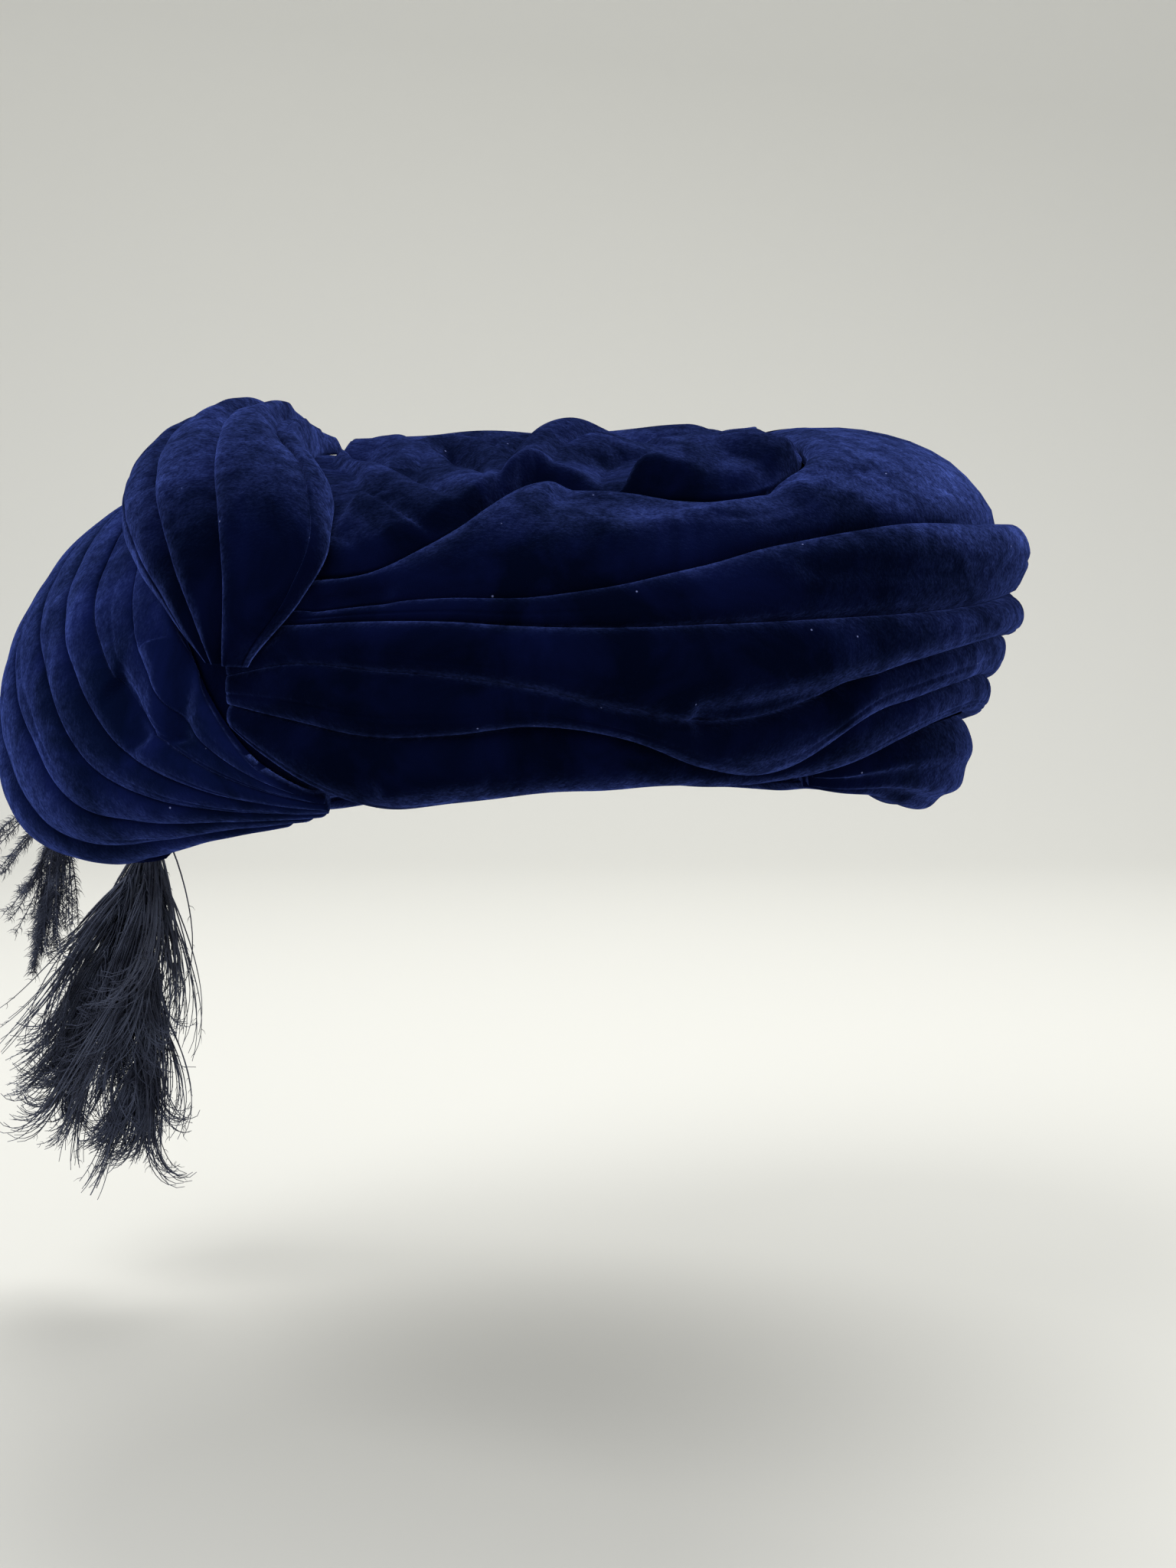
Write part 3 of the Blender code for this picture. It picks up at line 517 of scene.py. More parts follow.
def folded(lips, peaks, seed, first_power=0.4, power=0.45, **more):
    """Places and heights of a whole pleated cloth, fold after fold from the lowest lip up."""
    size = sizes()
    grid = []
    for k, (low, high, peak) in enumerate(zip(lips[:-1], lips[1:], peaks)):
        base = size.piece_gap + LEAST_WALL if k == 0 else size.cloth_rest
        grid.append(fold(low, high, np.maximum(peak, size.cloth_rest + LEAST_FOLD), base,
                         FIRST_FACE_STEPS if k == 0 else FACE_STEPS,
                         first_power if k == 0 else power, seed=seed + 7 * k, **more))
    return np.concatenate([g[0] for g in grid], 1), np.concatenate([g[1] for g in grid], 1)


def knot_line(across):
    """Line down the knot at a share of the way across it."""
    left, right = KNOT_STATIONS[:, 0:2], KNOT_STATIONS[:, 2:4]
    return crown_at(path_places(left + (right - left) * across, 24))


def under_knot(points, height):
    """Height of cloth, held low where the knot lies over it."""
    path = knot_line(0.5)
    half = 0.5 * np.linalg.norm(knot_line(1.0) - knot_line(0.0), axis=-1)
    distance, _, along = beside(points, path)
    reach = np.interp(along, np.linspace(0, 1, len(half)), half) + KNOT_TUCK
    free = np.clip((distance - reach) / KNOT_FADE, 0.0, 1.0)
    free = free * free * (3.0 - 2.0 * free)
    low = np.minimum(height, sizes().knot_clearance - sizes().piece_gap - KNOT_GAP)
    return low + (height - low) * free


def drawn(place, points, rows, tail=0.15, count=36):
    """Distance in metres to a path on the crown, more than 0 on its right as seen from above, and a
    fade that eases up from 0 over the first twelfth of the path and down over its tail."""
    flat = path_places(rows, count)
    distance, nearest, along = beside(points, crown_at(flat))
    way, off = np.diff(flat, axis=0)[nearest], place - flat[:-1][nearest]
    side = np.where(way[..., 0] * off[..., 1] - way[..., 1] * off[..., 0] > 0, -1.0, 1.0)
    fade = np.clip(12.0 * along, 0.0, 1.0) * np.clip((1.0 - along) / tail, 0.0, 1.0)
    return distance * side, fade * fade * (3.0 - 2.0 * fade)


def marked(place, height, marks):
    """Height of cloth with grooves and ridges drawn into it, each a Gaussian across its path."""
    points, unit = crown_at(place), sizes().fold_height
    for tall, half, rows in marks:
        distance, fade = drawn(place, points, rows)
        height = height + tall * unit * fade * np.exp(-(distance / (half * unit))**2)
    return height


def draped(place, folds):
    """Height of cloth laid in folds: each falls from its lip down its face as a parabola and drops
    behind the lip as a quarter circle, and the highest fold at a point is the one seen."""
    points, size = crown_at(place), sizes()
    unit = size.fold_height
    ground = np.maximum(size.cloth_rest, CAP_GROUND * unit)
    height = np.zeros(place.shape[:-1])
    for tall, reach, drop, tail, rows in folds:
        distance, fade = drawn(place, points, rows, tail)
        face = 1.0 - np.clip(distance / (reach * unit), 0.0, 1.0)**2
        behind = np.sqrt(np.maximum(1.0 - (distance / (drop * unit))**2, 0.0))
        rise = (tall * unit - ground) * fade
        height = np.maximum(height, rise * np.where(distance > 0, face, behind))
    return ground + height


# ---- Meshes and materials -----------------------------------------------------------------------

def grid_faces(number, flip=False):
    """Quads between neighbouring rows and columns of a grid of vertex numbers."""
    quads = np.stack([number[:-1, :-1], number[1:, :-1], number[1:, 1:], number[:-1, 1:]], -1)
    quads = quads.reshape(-1, 4)
    return quads[:, ::-1] if flip else quads


def mesh_object(name, vertices, faces, material):
    """Smooth-shaded object from vertices and arrays of faces with equal corner counts."""
    corners = np.concatenate([f.ravel() for f in faces]).astype(np.int32)
    counts = np.concatenate([np.full(len(f), f.shape[1]) for f in faces])
    mesh = bpy.data.meshes.new(name)
    mesh.vertices.add(len(vertices))
    mesh.vertices.foreach_set("co", np.ascontiguousarray(vertices, np.float32).ravel())
    mesh.loops.add(len(corners))
    mesh.loops.foreach_set("vertex_index", corners)
    mesh.polygons.add(len(counts))
    mesh.polygons.foreach_set("loop_start", (np.cumsum(counts) - counts).astype(np.int32))
    mesh.update(calc_edges=True)
    if mesh.validate():
        raise RuntimeError(f"{name}: the mesh has faulty faces")
    mesh.polygons.foreach_set("use_smooth", np.ones(len(counts), bool))
    mesh.materials.append(material)
    made = bpy.data.objects.new(name, mesh)
    bpy.context.scene.collection.objects.link(made)
    return made


def shell(name, outer, inner, material, ring=False, pole=None):
    """Closed wall between two matching grids of points: both faces and the strips along the edges."""
    count, rows = outer.shape[:2]
    vertices = np.concatenate([outer.reshape(-1, 3), inner.reshape(-1, 3)])
    number = np.arange(count * rows).reshape(count, rows)
    if ring:
        number = np.concatenate([number, number[:1]])
    back = number + count * rows
    quads = [grid_faces(number), grid_faces(back, flip=True),
             np.stack([number[1:, 0], number[:-1, 0], back[:-1, 0], back[1:, 0]], -1)]
    if not ring:
        quads += [np.stack([number[0, :-1], number[0, 1:], back[0, 1:], back[0, :-1]], -1),
                  np.stack([number[-1, 1:], number[-1, :-1], back[-1, :-1], back[-1, 1:]], -1)]
    faces = [np.concatenate(quads)]
    if pole is None:
        faces[0] = np.concatenate([faces[0], np.stack(
            [number[:-1, -1], number[1:, -1], back[1:, -1], back[:-1, -1]], -1)])
    else:
        vertices = np.concatenate([vertices, pole])
        top = np.full(len(number) - 1, len(vertices) - 2)
        faces.append(np.stack([number[:-1, -1], number[1:, -1], top], -1))
        faces.append(np.stack([back[1:, -1], back[:-1, -1], top + 1], -1))
    corner = vertices[faces[0]]
    volume = (np.einsum("ij,ij->i", corner[:, 0], np.cross(corner[:, 1], corner[:, 2])).sum()
              + np.einsum("ij,ij->i", corner[:, 0], np.cross(corner[:, 2], corner[:, 3])).sum())
    if volume < 0:
        faces = [f[:, ::-1] for f in faces]
    return mesh_object(name, vertices, faces, material)


def add_node(tree, kind, settings=(), **links):
    """Adds a node of a kind with its settings; each link is an input's name, or its number after an
    underscore, and a value or a socket."""
    node = tree.nodes.new(kind)
    for key, value in dict(settings).items():
        setattr(node, key, value)
    for key, value in links.items():
        socket = node.inputs[int(key[1:])] if key.startswith("_") else node.inputs[
            key.replace("_", " ")]
        if isinstance(value, bpy.types.NodeSocket):
            tree.links.new(value, socket)
        else:
            socket.default_value = value
    return node


def new_material(name):
    """An empty material, its tree and its shader."""
    material = bpy.data.materials.new(name)
    material.use_nodes = True
    tree = material.node_tree
    return material, tree, tree.nodes["Principled BSDF"]


def silk_velvet(name="silk velvet", painted_light_lift=1.0, painted_shade_gleam=1.0):
    """Silk velvet, a cut pile on a woven back: it swallows light seen straight on, so it is nearly
    black, and its pile tips glow blue wherever it turns away from the eye. The lift multiplies the
    base colour: above 1 it is painted light, for cloth lit more than the rest, along with its pile
    brushed up. The gleam scales the sheen: below 1 it is painted shade, for cloth whose folds stand
    in more shade than their shape gives."""
    known = bpy.data.materials.get(name)
    if known:
        return known
    tint = colours()
    material, tree, shader = new_material(name)
    where = add_node(tree, "ShaderNodeTexCoord").outputs["Object"]
    # brushed patches of the pile, some 25 mm wide
    patches = add_node(tree, "ShaderNodeTexNoise", Vector=where, Scale=40.0, Detail=4.0,
                       Roughness=0.6, Distortion=0.6).outputs["Fac"]
    patch = add_node(tree, "ShaderNodeMapRange", Value=patches, _1=0.42, _2=0.72).outputs[0]
    # tufts of the pile: really under 0.1 mm, drawn at 0.5 mm so that they show
    tufts = add_node(tree, "ShaderNodeTexNoise", Vector=where, Scale=1400.0, Detail=2.0,
                     Roughness=0.6).outputs["Fac"]
    ground = add_node(tree, "ShaderNodeMix", {"data_type": "RGBA"}, _0=patch)
    # both colours are multiplied by the lift: painted light where it is above 1
    ground.inputs[6].default_value = (*(painted_light_lift * np.array(tint.velvet)), 1.0)
    ground.inputs[7].default_value = (*(painted_light_lift * np.array(tint.velvet_brushed)), 1.0)
    # a few pale specks of lint, 0.4 mm across
    specks = add_node(tree, "ShaderNodeTexVoronoi", {"feature": "F1"}, Vector=where,
                      Scale=130.0).outputs["Distance"]
    lint = add_node(tree, "ShaderNodeMapRange", Value=specks, _1=0.035, _2=0.015).outputs[0]
    speckled = add_node(tree, "ShaderNodeMix", {"data_type": "RGBA"}, _0=lint)
    tree.links.new(ground.outputs[2], speckled.inputs[6])
    speckled.inputs[7].default_value = (*linear("#6d76a4"), 1.0)
    tree.links.new(speckled.outputs[2], shader.inputs["Base Color"])
    bump = add_node(tree, "ShaderNodeBump", Height=tufts, Strength=0.35, Distance=0.0003)
    tree.links.new(bump.outputs[0], shader.inputs["Normal"])
    shader.inputs["Roughness"].default_value = 0.85
    shader.inputs["Specular IOR Level"].default_value = 0.0
    # the pile stands up, so its tips catch light only where the cloth turns away from the eye
    facing = add_node(tree, "ShaderNodeLayerWeight", _0=0.5, _1=bump.outputs[0]).outputs["Facing"]
    turned = add_node(tree, "ShaderNodeMapRange", {"interpolation_type": "SMOOTHSTEP"}, Value=facing,
                      _1=0.05, _2=0.55, _3=0.015, _4=0.37).outputs[0]
    # crushed spots of the pile, some 3 mm wide
    crushed = add_node(tree, "ShaderNodeTexNoise", Vector=where, Scale=330.0, Detail=4.0,
                       Roughness=0.65).outputs["Fac"]
    # patches, tufts and crushed spots each make the sheen uneven, between the two last numbers; the gleam
    # scales the last pair, which is painted shade where it is below 1
    weight = turned
    for pattern, low, high, least, most in ((patches, 0.35, 0.70, 0.50, 1.40),
                                            (tufts, 0.30, 0.70, 0.45, 1.55),
                                            (crushed, 0.35, 0.65, 0.50 * painted_shade_gleam, 1.45 * painted_shade_gleam)):
        share = add_node(tree, "ShaderNodeMapRange", Value=pattern, _1=low, _2=high, _3=least,
                         _4=most).outputs[0]
        weight = add_node(tree, "ShaderNodeMath", {"operation": "MULTIPLY"}, _0=weight,
                          _1=share).outputs[0]
    tree.links.new(weight, shader.inputs["Sheen Weight"])
    shader.inputs["Sheen Roughness"].default_value = 0.45
    shader.inputs["Sheen Tint"].default_value = (*tint.velvet_sheen, 1.0)
    return material


def dyed_feather(name="dyed ostrich feather"):
    """Dyed ostrich barbs: soft keratin hairs, dull and dark with a faint grey-blue sheen."""
    known = bpy.data.materials.get(name)
    if known:
        return known
    tint = colours()
    material, tree, shader = new_material(name)
    where = add_node(tree, "ShaderNodeTexCoord").outputs["Object"]
    # locks of barbs differ a little in colour, some 6 mm apart
    streaks = add_node(tree, "ShaderNodeTexNoise", Vector=where, Scale=160.0,
                       Detail=2.0).outputs["Fac"]
    mix = add_node(tree, "ShaderNodeMapRange", Value=streaks, _1=0.35, _2=0.75).outputs[0]
    shade = add_node(tree, "ShaderNodeMix", {"data_type": "RGBA"}, _0=mix)
    shade.inputs[6].default_value = (*tint.feather, 1.0)
    shade.inputs[7].default_value = (*tint.feather_light, 1.0)
    tree.links.new(shade.outputs[2], shader.inputs["Base Color"])
    shader.inputs["Roughness"].default_value = 0.6
    shader.inputs["Specular IOR Level"].default_value = 0.3
    shader.inputs["Sheen Weight"].default_value = 0.3
    shader.inputs["Sheen Roughness"].default_value = 0.4
    shader.inputs["Sheen Tint"].default_value = (*linear("#8e97b8"), 1.0)
    return material


def seat(made, node):
    """Lets a piece stand for its solid and ride with the body."""
    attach(made, "root")
    if node:
        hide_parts(node)
    return made


def lay_cloth(name, node, place, height, seed, material=None):
    """Closed cloth on the crown: the face stands at its heights, the back lies just over the crown."""
    size = sizes()
    points = crown_at(place)
    height = height + waves(points, seed, WAVE_LENGTH, size.wave_height) * np.clip(
        (height - size.piece_gap) / WAVE_EASE, 0.0, 1.0)
    height = np.maximum(under_knot(points, height), size.piece_gap + LEAST_WALL)
    outer = over(place, height)
    inner = over(place, np.full(height.shape, size.piece_gap))
    made = shell(name, outer, inner, material or silk_velvet())
    return seat(made, node)


# ---- Pieces -------------------------------------------------------------------------------------

def lips_along(rows, count):
    """Places of each lip along the cloth, through that lip's row of azimuth and climb."""
    stations = np.linspace(0.0, 1.0, rows.shape[1] // 2)
    along = np.linspace(0.0, 1.0, count)
    turns = [smooth(stations, row.reshape(-1, 2), along) for row in rows]
    return [place_at(turn[:, 0], turn[:, 1]) for turn in turns]


def front_top(azimuth):
    """Climb of the front drape's top edge."""
    return smooth(FRONT_LIPS[:, 0], FRONT_LIPS[:, 1], azimuth)


def cap_edge(azimuth):
    """Climb of the crown drape's edge: it meets the front, back and side drapes in turn."""
    front = np.linspace(FRONT_LIPS[0, 0], FRONT_LIPS[-1, 0], 60)
    back = smooth(np.linspace(0.0, 1.0, BACK_LIPS.shape[1] // 2), BACK_LIPS[-1].reshape(-1, 2),
                  np.linspace(0.0, 1.0, 30))
    rows = np.concatenate([np.stack([front, front_top(front)], -1), back, CAP_EDGE_LEFT[1:]])
    turn = (np.asarray(azimuth, float) - FRONT_LIPS[0, 0]) % 360.0 + FRONT_LIPS[0, 0]
    return np.interp(turn, rows[:, 0], rows[:, 1]) + CAP_EDGE_GAP


class MakeCrown(bpy.types.Operator):
    """Hollow crown, open at the head opening, that the drapes are laid on."""
    bl_idname = "hat.make_crown"
    bl_label = "Crown"

    def execute(self, context):
        size = sizes()
        azimuth = np.linspace(-180.0, 180.0, ALONG["crown"], endpoint=False)[:, None]
        climb = np.linspace(0.0, CROWN_TOP_CLIMB, CROWN_UP)[None, :]
        place = place_at(azimuth + 0 * climb, climb + 0 * azimuth)
        sink = np.full(place.shape[:-1], size.crown_sink)
        top = size.apex_height - size.crown_sink
        pole = np.array([(0, 0, top), (0, 0, top - size.crown_wall)])
        made = shell("velvet_crown", over(place, -sink), over(place, -sink - size.crown_wall),
                     silk_velvet(), ring=True, pole=pole)
        seat(made, "crown")
        return {"FINISHED"}


class MakeCap(bpy.types.Operator):
    """Crown drape: overlapping arcs of cloth over the top of the crown."""
    bl_idname = "hat.make_cap"
    bl_label = "Crown drape"

    def execute(self, context):
        stations = np.linspace(0.0, 1.0, len(CAP_FRONT))
        along = np.linspace(0.0, 1.0, ALONG["cap"])
        edges = [smooth(stations, turn, along) for turn in (CAP_FRONT, CAP_BACK)]
        edges = [place_at(turn, cap_edge(turn)) for turn in edges]
        middle = smooth(stations, places(CAP_MIDDLE), along)
        # rows lie closer together on the front, where the folds are narrow
        share = np.concatenate([np.linspace(0.0, 1.0, CAP_ACROSS * 6 // 10, endpoint=False),
                                np.linspace(1.0, 2.0, CAP_ACROSS * 4 // 10)])[None, :, None]
        front, back = edges[0][:, None], edges[1][:, None]
        place = np.where(share < 1.0, front + (middle[:, None] - front) * share,
                         middle[:, None] + (back - middle[:, None]) * (share - 1.0))
        height = draped(place, CAP_FOLDS)
        # the drape comes out from under the front drape's lip, low at its edge
        off = np.clip(np.linalg.norm(crown_at(place) - crown_at(front + 0 * place), axis=-1)
                      / CAP_EDGE_EASE, 0.0, 1.0)
        height = sizes().cloth_rest + (height - sizes().cloth_rest) * np.sin(0.5 * np.pi * off)
        # the crown drape takes a velvet with its sheen scaled to 0.66: painted shade, for its folds stand
        # in more shade than their shape here gives
        lay_cloth("velvet_crown_drape", "crown_drape", place, height, 12,
                  silk_velvet("silk velvet with painted shade", 1.0, 0.66))
        return {"FINISHED"}


class MakeFront(bpy.types.Operator):
    """Front drape: the pleated swag from the knot round to the right side."""
    bl_idname = "hat.make_front"
    bl_label = "Front drape"

    def execute(self, context):
        azimuth = np.linspace(FRONT_LIPS[0, 0], FRONT_LIPS[-1, 0], ALONG["front"])
        climbs = smooth(FRONT_LIPS[:, 0], FRONT_LIPS[:, 1:], azimuth)
        peaks = sizes().fold_height * smooth(FRONT_PEAKS[:, 0], FRONT_PEAKS[:, 1:], azimuth)
        lips = [place_at(azimuth, climbs[:, k]) for k in range(climbs.shape[1])]
        place, height = folded(lips[::-1], list(peaks.T[::-1]), seed=21)
        height = marked(place, height, FRONT_MARKS)
        lay_cloth("velvet_front_drape", "front_drape", place, height, 22)
        return {"FINISHED"}


class MakeSide(bpy.types.Operator):
    """Side drape: the swirl of narrow folds on the left."""
    bl_idname = "hat.make_side"
    bl_label = "Side drape"

    def execute(self, context):
        lips = lips_along(SIDE_LIPS, ALONG["side"])
        tall = sizes().fold_height * smooth(np.linspace(0.0, 1.0, len(SIDE_FADE)), SIDE_FADE,
                                            np.linspace(0.0, 1.0, ALONG["side"]))
        place, height = folded(lips, [peak * tall for peak in SIDE_PEAKS], seed=31)
        height = marked(place, height, SIDE_MARKS)
        # the side drape's base colour is lifted 2.2 times: painted light for the swirl, lit more from the
        # left, with its pile brushed up
        lay_cloth("velvet_side_drape", "side_drape", place, height, 32,
                  silk_velvet("silk velvet brushed up with painted light", 2.2))
        return {"FINISHED"}


class MakeBack(bpy.types.Operator):
    """Back drape: plain folds that carry the swag round the back."""
    bl_idname = "hat.make_back"
    bl_label = "Back drape"

    def execute(self, context):
        lips = lips_along(BACK_LIPS, ALONG["back"])
        peaks = [np.full(ALONG["back"], sizes().fold_height * peak) for peak in BACK_PEAKS]
        place, height = folded(lips, peaks, seed=41)
        lay_cloth("velvet_back_drape", "back_drape", place, height, 42)
        return {"FINISHED"}


class MakeKnot(bpy.types.Operator):
    """Knot: an upright bundle of pleats whose lips face left."""
    bl_idname = "hat.make_knot"
    bl_label = "Knot"

    def execute(self, context):
        size = sizes()
        stations = np.linspace(0.0, 1.0, len(KNOT_STATIONS))
        along = np.linspace(0.0, 1.0, ALONG["knot"])
        rows = smooth(stations, KNOT_STATIONS, along)
        left, right = place_at(rows[:, 0], rows[:, 1]), place_at(rows[:, 2], rows[:, 3])
        width = np.linalg.norm(crown_at(right) - crown_at(left), axis=-1)
        puff = size.knot_height * smooth(stations, KNOT_PUFF, along)[:, None]
        lips = [smooth(stations, lip[:-1], along)[:, None] for lip in KNOT_LIPS]
        lips.append(np.ones_like(lips[0]))
        shares, reliefs = [], []
        for k, rise in enumerate(size.knot_height * KNOT_LIPS[:, -1]):
            start, stop = lips[k], lips[k + 1]
            span = stop - start
            arc = np.minimum(size.knot_lip_radius / width[:, None], 0.45 * span)
            turn = np.linspace(0.5 * np.pi, 0.0, LIP_STEPS)[None, :]
            # all but the first lip hang over the pleat beside them
            overhang = 0.12 * arc * np.sin(2 * turn) if k else 0
            lip_share = start + arc * (1.0 - np.sin(turn)) - overhang
            lip_relief = rise * np.cos(turn) + 0 * arc
            x = np.linspace(0.0, 1.0, KNOT_FACE_STEPS)[None, 1:]
            face_share = start + arc + (span - arc) * x
            face_relief = rise * (1.0 - x)**1.3 + puff * np.sin(np.pi * x)
            shares += [lip_share, face_share]
            reliefs += [lip_relief, face_relief]
        share, relief = np.concatenate(shares, 1), np.concatenate(reliefs, 1)
        edge = size.knot_clearance + KNOT_EDGE
        arch = np.maximum(np.sin(np.pi * np.clip(share, 0.0, 1.0)), 0.0)**KNOT_ARCH_POWER
        height = (edge + (size.knot_height * rows[:, 4:5] - edge) * arch
                  + relief * np.minimum(arch * 1.6, 1.0))
        place = left[:, None, :] + (right - left)[:, None, :] * share[..., None]
        height = height + waves(crown_at(place), 51, KNOT_WAVE_LENGTH, size.wave_height)
        height = np.maximum(height, size.knot_clearance + KNOT_LEAST)
        inner = over(place, np.full(height.shape, size.knot_clearance))
        made = shell("velvet_knot", over(place, height), inner, silk_velvet())
        seat(made, "knot")
        return {"FINISHED"}


class MakeTuck(bpy.types.Operator):
    """Right tuck: the puffed end of the swag, tucked under at the lower right."""
    bl_idname = "hat.make_tuck"
    bl_label = "Right tuck"

    def execute(self, context):
        size = sizes()
        azimuth = np.linspace(TUCK_STATIONS[0, 0], TUCK_STATIONS[-1, 0], ALONG["tuck"])[:, None]
        rows = smooth(TUCK_STATIONS[:, 0], TUCK_STATIONS[:, 1:], azimuth[:, 0])
        share = np.linspace(0.0, 1.0, TUCK_ACROSS)[None, :]
        climb = rows[:, 1:2] + (rows[:, 0:1] - rows[:, 1:2]) * share
        base = size.piece_gap + LEAST_WALL
        arch = np.sin(np.pi * share)**TUCK_ARCH_POWER
        height = base + (size.tuck_height * rows[:, 2:3] - base) * arch
        height = height + arch * TUCK_PLEAT_HEIGHT * np.sin(np.pi * TUCK_PLEATS * share)**2
        place = place_at(azimuth + 0 * climb, climb)
        lay_cloth("velvet_right_tuck", "right_tuck", place, height, 62)
        return {"FINISHED"}


# ---- Plumes -------------------------------------------------------------------------------------

def hair_arrays(lines, radius):
    """Three-sided hairs along lines of points: a ring of three points about each, closed at both
    ends. Gives vertices, quads and end triangles."""
    count, steps = lines.shape[:2]
    way = np.gradient(lines, axis=1)
    way /= np.maximum(np.linalg.norm(way, axis=-1, keepdims=True), 1e-9)
    side = np.cross(way, np.array((0.31, 0.90, 0.30)))
    side /= np.maximum(np.linalg.norm(side, axis=-1, keepdims=True), 1e-9)
    up = np.cross(way, side)
    turn = np.radians((90.0, 210.0, 330.0))
    ring = (side[..., None, :] * np.cos(turn)[:, None] + up[..., None, :] * np.sin(turn)[:, None])
    vertices = lines[..., None, :] + ring * radius[..., None, None]
    number = np.arange(count * steps * 3).reshape(count, steps, 3)
    after = np.roll(number, -1, axis=2)
    quads = np.stack([number[:, :-1], after[:, :-1], after[:, 1:], number[:, 1:]], -1).reshape(-1, 4)
    ends = np.concatenate([number[:, 0, ::-1], number[:, -1]])
    return vertices.reshape(-1, 3), quads, ends


def join_hairs(parts):
    """One set of vertices, quads and triangles from several."""
    shift = np.cumsum([0] + [len(p[0]) for p in parts[:-1]])
    return (np.concatenate([p[0] for p in parts]),
            np.concatenate([p[1] + s for p, s in zip(parts, shift)]),
            np.concatenate([p[2] + s for p, s in zip(parts, shift)]))


def feather_frame(root, turn):
    """Root of a plume and its sideways and depthwise directions."""
    a = np.radians(turn)
    start = over(place_at(root[0], root[1]), np.array(sizes().fold_height * root[2]))
    return start, np.array((np.cos(a), np.sin(a), 0.0)), np.array((-np.sin(a), np.cos(a), 0.0))


def barbules(lines, seed, per_hair, length, radius):
    """Short fine side hairs along given lines: thin spikes that lean towards the tip."""
    chance = np.random.default_rng(seed)
    count, steps = lines.shape[:2]
    hair = np.repeat(np.arange(count), per_hair)
    where = chance.uniform(0.10, 0.98, len(hair)) * (steps - 1)
    i = np.minimum(where.astype(int), steps - 2)
    f = (where - i)[:, None]
    base = lines[hair, i] * (1 - f) + lines[hair, i + 1] * f
    way = lines[hair, i + 1] - lines[hair, i]
    way /= np.maximum(np.linalg.norm(way, axis=-1, keepdims=True), 1e-9)
    out = chance.normal(size=base.shape)
    out -= way * (out * way).sum(-1, keepdims=True)
    out /= np.linalg.norm(out, axis=-1, keepdims=True)
    reach = length * chance.uniform(0.5, 1.0, len(hair))[:, None]
    tip = base + (0.75 * way + 0.65 * out) * reach
    middle = base + (0.30 * way + 0.45 * out) * reach
    points = np.stack([base, middle, tip], 1)
    thick = radius * np.array((1.0, 0.7, 0.2))[None, :] * np.ones((len(hair), 1))
    return hair_arrays(points, thick)


def wander(start, turn, length, wide, deep, drift):
    """Lines walked in equal steps: at each step the way turns in the feather's plane to an angle from
    straight down and drifts slowly out of the plane."""
    step = length[:, None] / (turn.shape[1] - 1)
    way = (np.sin(turn)[..., None] * wide + drift[..., None] * deep
           - np.cos(turn)[..., None] * np.array((0.0, 0.0, 1.0)))
    walk = np.cumsum(way[:, :-1] * step[..., None], axis=1)
    return start[:, None] + np.concatenate([np.zeros_like(walk[:, :1]), walk], 1)


def feather(seed, start, wide, deep, quill_turn, quill_length, locks, barbs, length, curl, steps=15):
    """Quill and barbs of one feather. The barbs leave the quill in locks on either side, bend down
    under their weight as the square root of the way along, and curl at the tip as its fourth power."""
    chance = np.random.default_rng(seed)
    t = np.linspace(0.0, 1.0, 24)
    bend = np.radians(quill_turn[0] + (quill_turn[1] - quill_turn[0]) * t)[None, :]
    quill = wander(start[None], bend, np.array([quill_length]), wide, deep, 0.0 * bend)[0]
    where = np.repeat(np.sort(chance.uniform(0.06, 1.0, locks)), barbs)
    side = np.repeat(chance.choice((-1.0, 1.0), locks), barbs)
    count = locks * barbs
    where = np.clip(where + chance.normal(0.0, 0.014, count), 0.0, 1.0)
    base = np.stack([np.interp(where, t, quill[:, k]) for k in range(3)], -1)
    base += deep * (0.0016 * chance.normal(size=count))[:, None]
    leave = np.repeat(chance.uniform(6.0, 36.0, locks), barbs) + chance.normal(0.0, 5.0, count)
    fall = np.repeat(chance.uniform(-20.0, 6.0, locks), barbs) + chance.normal(0.0, 4.0, count)
    # three locks in four curl to the left
    hook = chance.choice((-1.0, -1.0, -1.0, 1.0), locks) * chance.uniform(curl[0], curl[1], locks)
    hook = np.repeat(hook, barbs) * chance.uniform(0.6, 1.2, count)
    flow = np.interp(where, t, np.degrees(bend[0]))
    u = np.linspace(0.0, 1.0, steps)[None, :]
    first = (flow + side * leave)[:, None]
    last = (0.55 * flow + fall)[:, None]
    turn = first + (last - first) * np.sqrt(u) + hook[:, None] * u**4
    reach = (length * np.repeat(chance.uniform(0.70, 1.12, locks), barbs)
             * (1.0 - 0.50 * where) * chance.uniform(0.86, 1.05, count))
    drift = np.repeat(chance.normal(0.0, 0.20, locks), barbs)[:, None] * (1.0 - 0.6 * u)
    drift = drift + 0.05 * chance.normal(size=(count, 1))
    return quill, wander(base, np.radians(turn), reach, wide, deep, drift)


def feather_arrays(quill, lines, quill_radius=0.0010):
    """Hair arrays of a quill and its barbs, each tapering to its tip."""
    taper = sizes().barb_radius * np.linspace(1.0, 0.30, lines.shape[1])[None, :]
    return [hair_arrays(lines, taper * np.ones((len(lines), 1))),
            hair_arrays(quill[None], quill_radius * np.linspace(1.0, 0.3, len(quill))[None, :])]


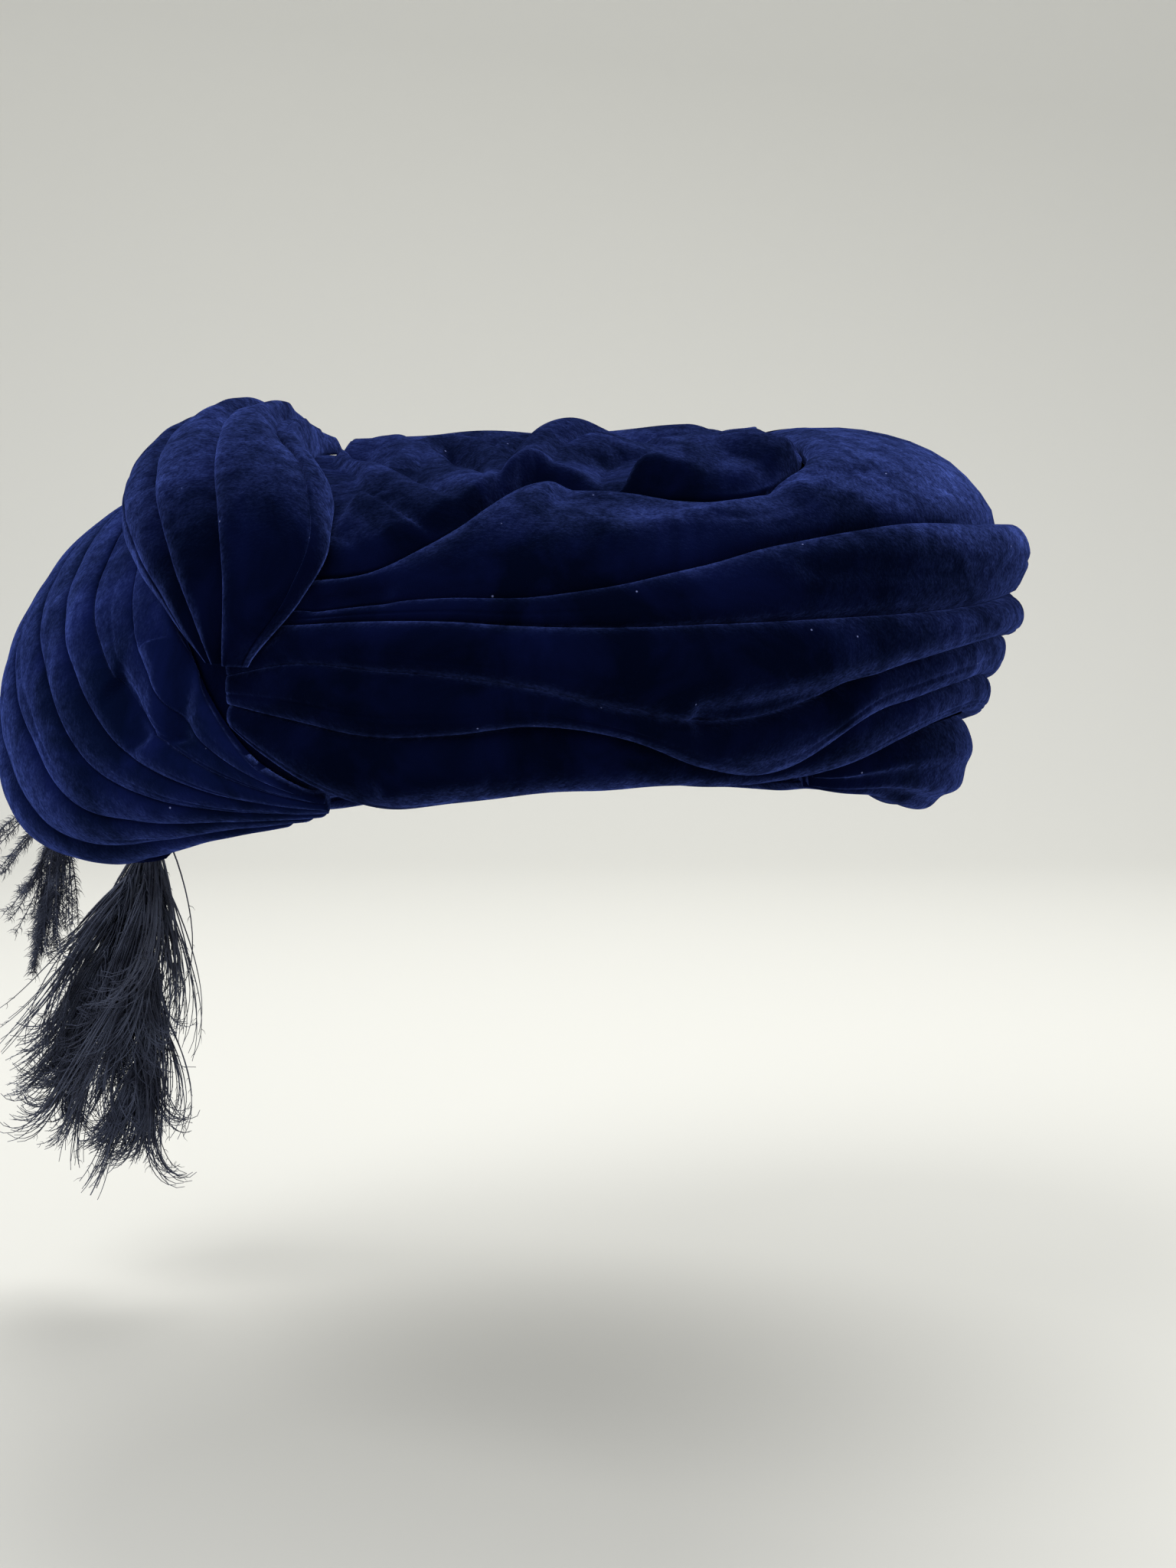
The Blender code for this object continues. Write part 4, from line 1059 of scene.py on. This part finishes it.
class MakePlumes(bpy.types.Operator):
    """Plumes: ostrich feathers that hang behind the left side."""
    bl_idname = "hat.make_plumes"
    bl_label = "Plumes"

    def execute(self, context):
        self.hanging()
        self.spray()
        return {"FINISHED"}

    def hanging(self):
        """Two curled feathers, one behind the other."""
        long = sizes().plume_length
        start, wide, deep = feather_frame(HANGING_ROOT, HANGING_TURN)
        rear = feather(71, start + 0.03 * long * deep, wide, deep, (-28.0, -14.0), 0.74 * long, 52, 15,
                       0.62 * long, (10.0, 150.0))
        near = feather(74, start - 0.03 * long * deep, wide, deep, (-2.0, -8.0), 0.78 * long, 52, 15,
                       0.60 * long, (10.0, 170.0))
        vertices, quads, ends = join_hairs(feather_arrays(*rear) + feather_arrays(*near))
        made = mesh_object("hanging_plume", vertices, [quads, ends], dyed_feather())
        seat(made, "plume_hanging")
        fluff = barbules(np.concatenate([rear[1], near[1]])[::2], 72, 11, 0.0026, 0.00010)
        seat(mesh_object("hanging_plume_fluff", fluff[0], [fluff[1], fluff[2]], dyed_feather()),
             None)

    def spray(self):
        """A small feather with fern-like barbs."""
        long = sizes().spray_length
        start, wide, deep = feather_frame(SIDE_ROOT, SIDE_TURN)
        quill, lines = feather(81, start, wide, deep, (-60.0, -4.0), 0.80 * long, 13, 4, 0.95 * long,
                               (10.0, 90.0))
        vertices, quads, ends = join_hairs(feather_arrays(quill, lines, 0.0007)
                                           + [barbules(lines, 82, 105, 0.0034, 0.00010)])
        made = mesh_object("side_plume", vertices, [quads, ends], dyed_feather())
        seat(made, "plume_side")


# ---- Stage --------------------------------------------------------------------------------------

class MakeStage(bpy.types.Operator):
    """Pale floor that sweeps up into a backdrop, soft lights and the camera."""
    bl_idname = "hat.make_stage"
    bl_label = "Stage"

    def execute(self, context):
        stage = context.scene.hat_stage
        material, tree, shader = new_material("pale matt paper")
        shader.inputs["Base Color"].default_value = (*stage.floor_colour, 1.0)
        shader.inputs["Roughness"].default_value = 0.9
        shader.inputs["Specular IOR Level"].default_value = 0.1
        # profile: a level floor, a quarter circle of 0.6 m, then an upright wall
        turn = np.linspace(0.0, 0.5 * np.pi, 24)
        depth = np.concatenate([[-1.6], 1.0 + 0.6 * np.sin(turn), [1.6]])
        rise = np.concatenate([[0.0], 0.6 * (1.0 - np.cos(turn)), [2.4]])
        across = np.linspace(-2.6, 2.6, 3)
        points = np.stack(np.broadcast_arrays(across[:, None], depth[None, :],
                                              stage.floor_height + rise[None, :]), -1)
        number = np.arange(points[..., 0].size).reshape(points.shape[:2])
        sweep = mesh_object("paper_sweep", points.reshape(-1, 3), [grid_faces(number)], material)
        for name, place, size, share in LIGHTS:
            self.light(name, place, size, share * stage.light_power)
        world = context.scene.world or bpy.data.worlds.new("studio")
        context.scene.world = world
        world.use_nodes = True
        sky = world.node_tree.nodes["Background"].inputs
        sky[0].default_value = (*linear(STUDIO_COLOUR), 1.0)
        sky[1].default_value = STUDIO_STRENGTH
        forward = np.array((0.0, np.cos(stage.elevation), -np.sin(stage.elevation)))
        data = bpy.data.cameras.new("camera")
        data.sensor_fit, data.sensor_width, data.lens = "HORIZONTAL", 36.0, stage.focal
        data.clip_start = 0.01
        camera = bpy.data.objects.new("camera", data)
        camera.location = np.array(CAMERA_AIM) - forward * stage.distance
        camera.rotation_euler = (0.5 * np.pi - stage.elevation, 0.0, 0.0)
        context.scene.collection.objects.link(camera)
        context.scene.camera = camera
        context.scene.view_settings.view_transform = "Standard"
        return {"FINISHED"}

    def light(self, name, place, size, power):
        """A round soft light that faces the hat."""
        data = bpy.data.lights.new(name, "AREA")
        data.shape, data.size, data.energy = "DISK", size, power
        lamp = bpy.data.objects.new(name, data)
        lamp.location = place
        aim = np.array((0.0, 0.0, 0.02)) - np.array(place)
        lamp.rotation_euler = (0.5 * np.pi + np.arctan2(aim[2], np.hypot(aim[0], aim[1])), 0.0,
                               np.arctan2(-aim[0], aim[1]))
        bpy.context.scene.collection.objects.link(lamp)


# ---- Panel and registration ---------------------------------------------------------------------

PIECES = (MakeCrown, MakeCap, MakeFront, MakeSide, MakeBack, MakeKnot, MakeTuck, MakePlumes, MakeStage)


class HatPanel(bpy.types.Panel):
    """Lists the hat's sizes, colours and pieces."""
    bl_idname = "VIEW3D_PT_hat"
    bl_label = "Cocktail Hat"
    bl_space_type = "VIEW_3D"
    bl_region_type = "UI"
    bl_category = "Hat"

    def draw(self, context):
        for group in (context.scene.hat_sizes, context.scene.hat_colours, context.scene.hat_stage):
            for key in group.bl_rna.properties.keys():
                if key not in ("rna_type", "name"):
                    self.layout.prop(group, key)
        for piece in PIECES:
            self.layout.operator(piece.bl_idname)


CLASSES = (HatSizes, HatColours, HatStage) + PIECES + (HatPanel,)


def register():
    """Registers the classes and hangs their settings on the scene."""
    for item in CLASSES:
        bpy.utils.register_class(item)
    bpy.types.Scene.hat_sizes = bpy.props.PointerProperty(type=HatSizes)
    bpy.types.Scene.hat_colours = bpy.props.PointerProperty(type=HatColours)
    bpy.types.Scene.hat_stage = bpy.props.PointerProperty(type=HatStage)


def unregister():
    """Undoes register."""
    del bpy.types.Scene.hat_stage
    del bpy.types.Scene.hat_colours
    del bpy.types.Scene.hat_sizes
    for item in reversed(CLASSES):
        bpy.utils.unregister_class(item)


def main():
    """Makes every piece in order."""
    register()
    for piece in PIECES:
        area, action = piece.bl_idname.split(".")
        getattr(getattr(bpy.ops, area), action)()


if __name__ == "__main__":
    main()
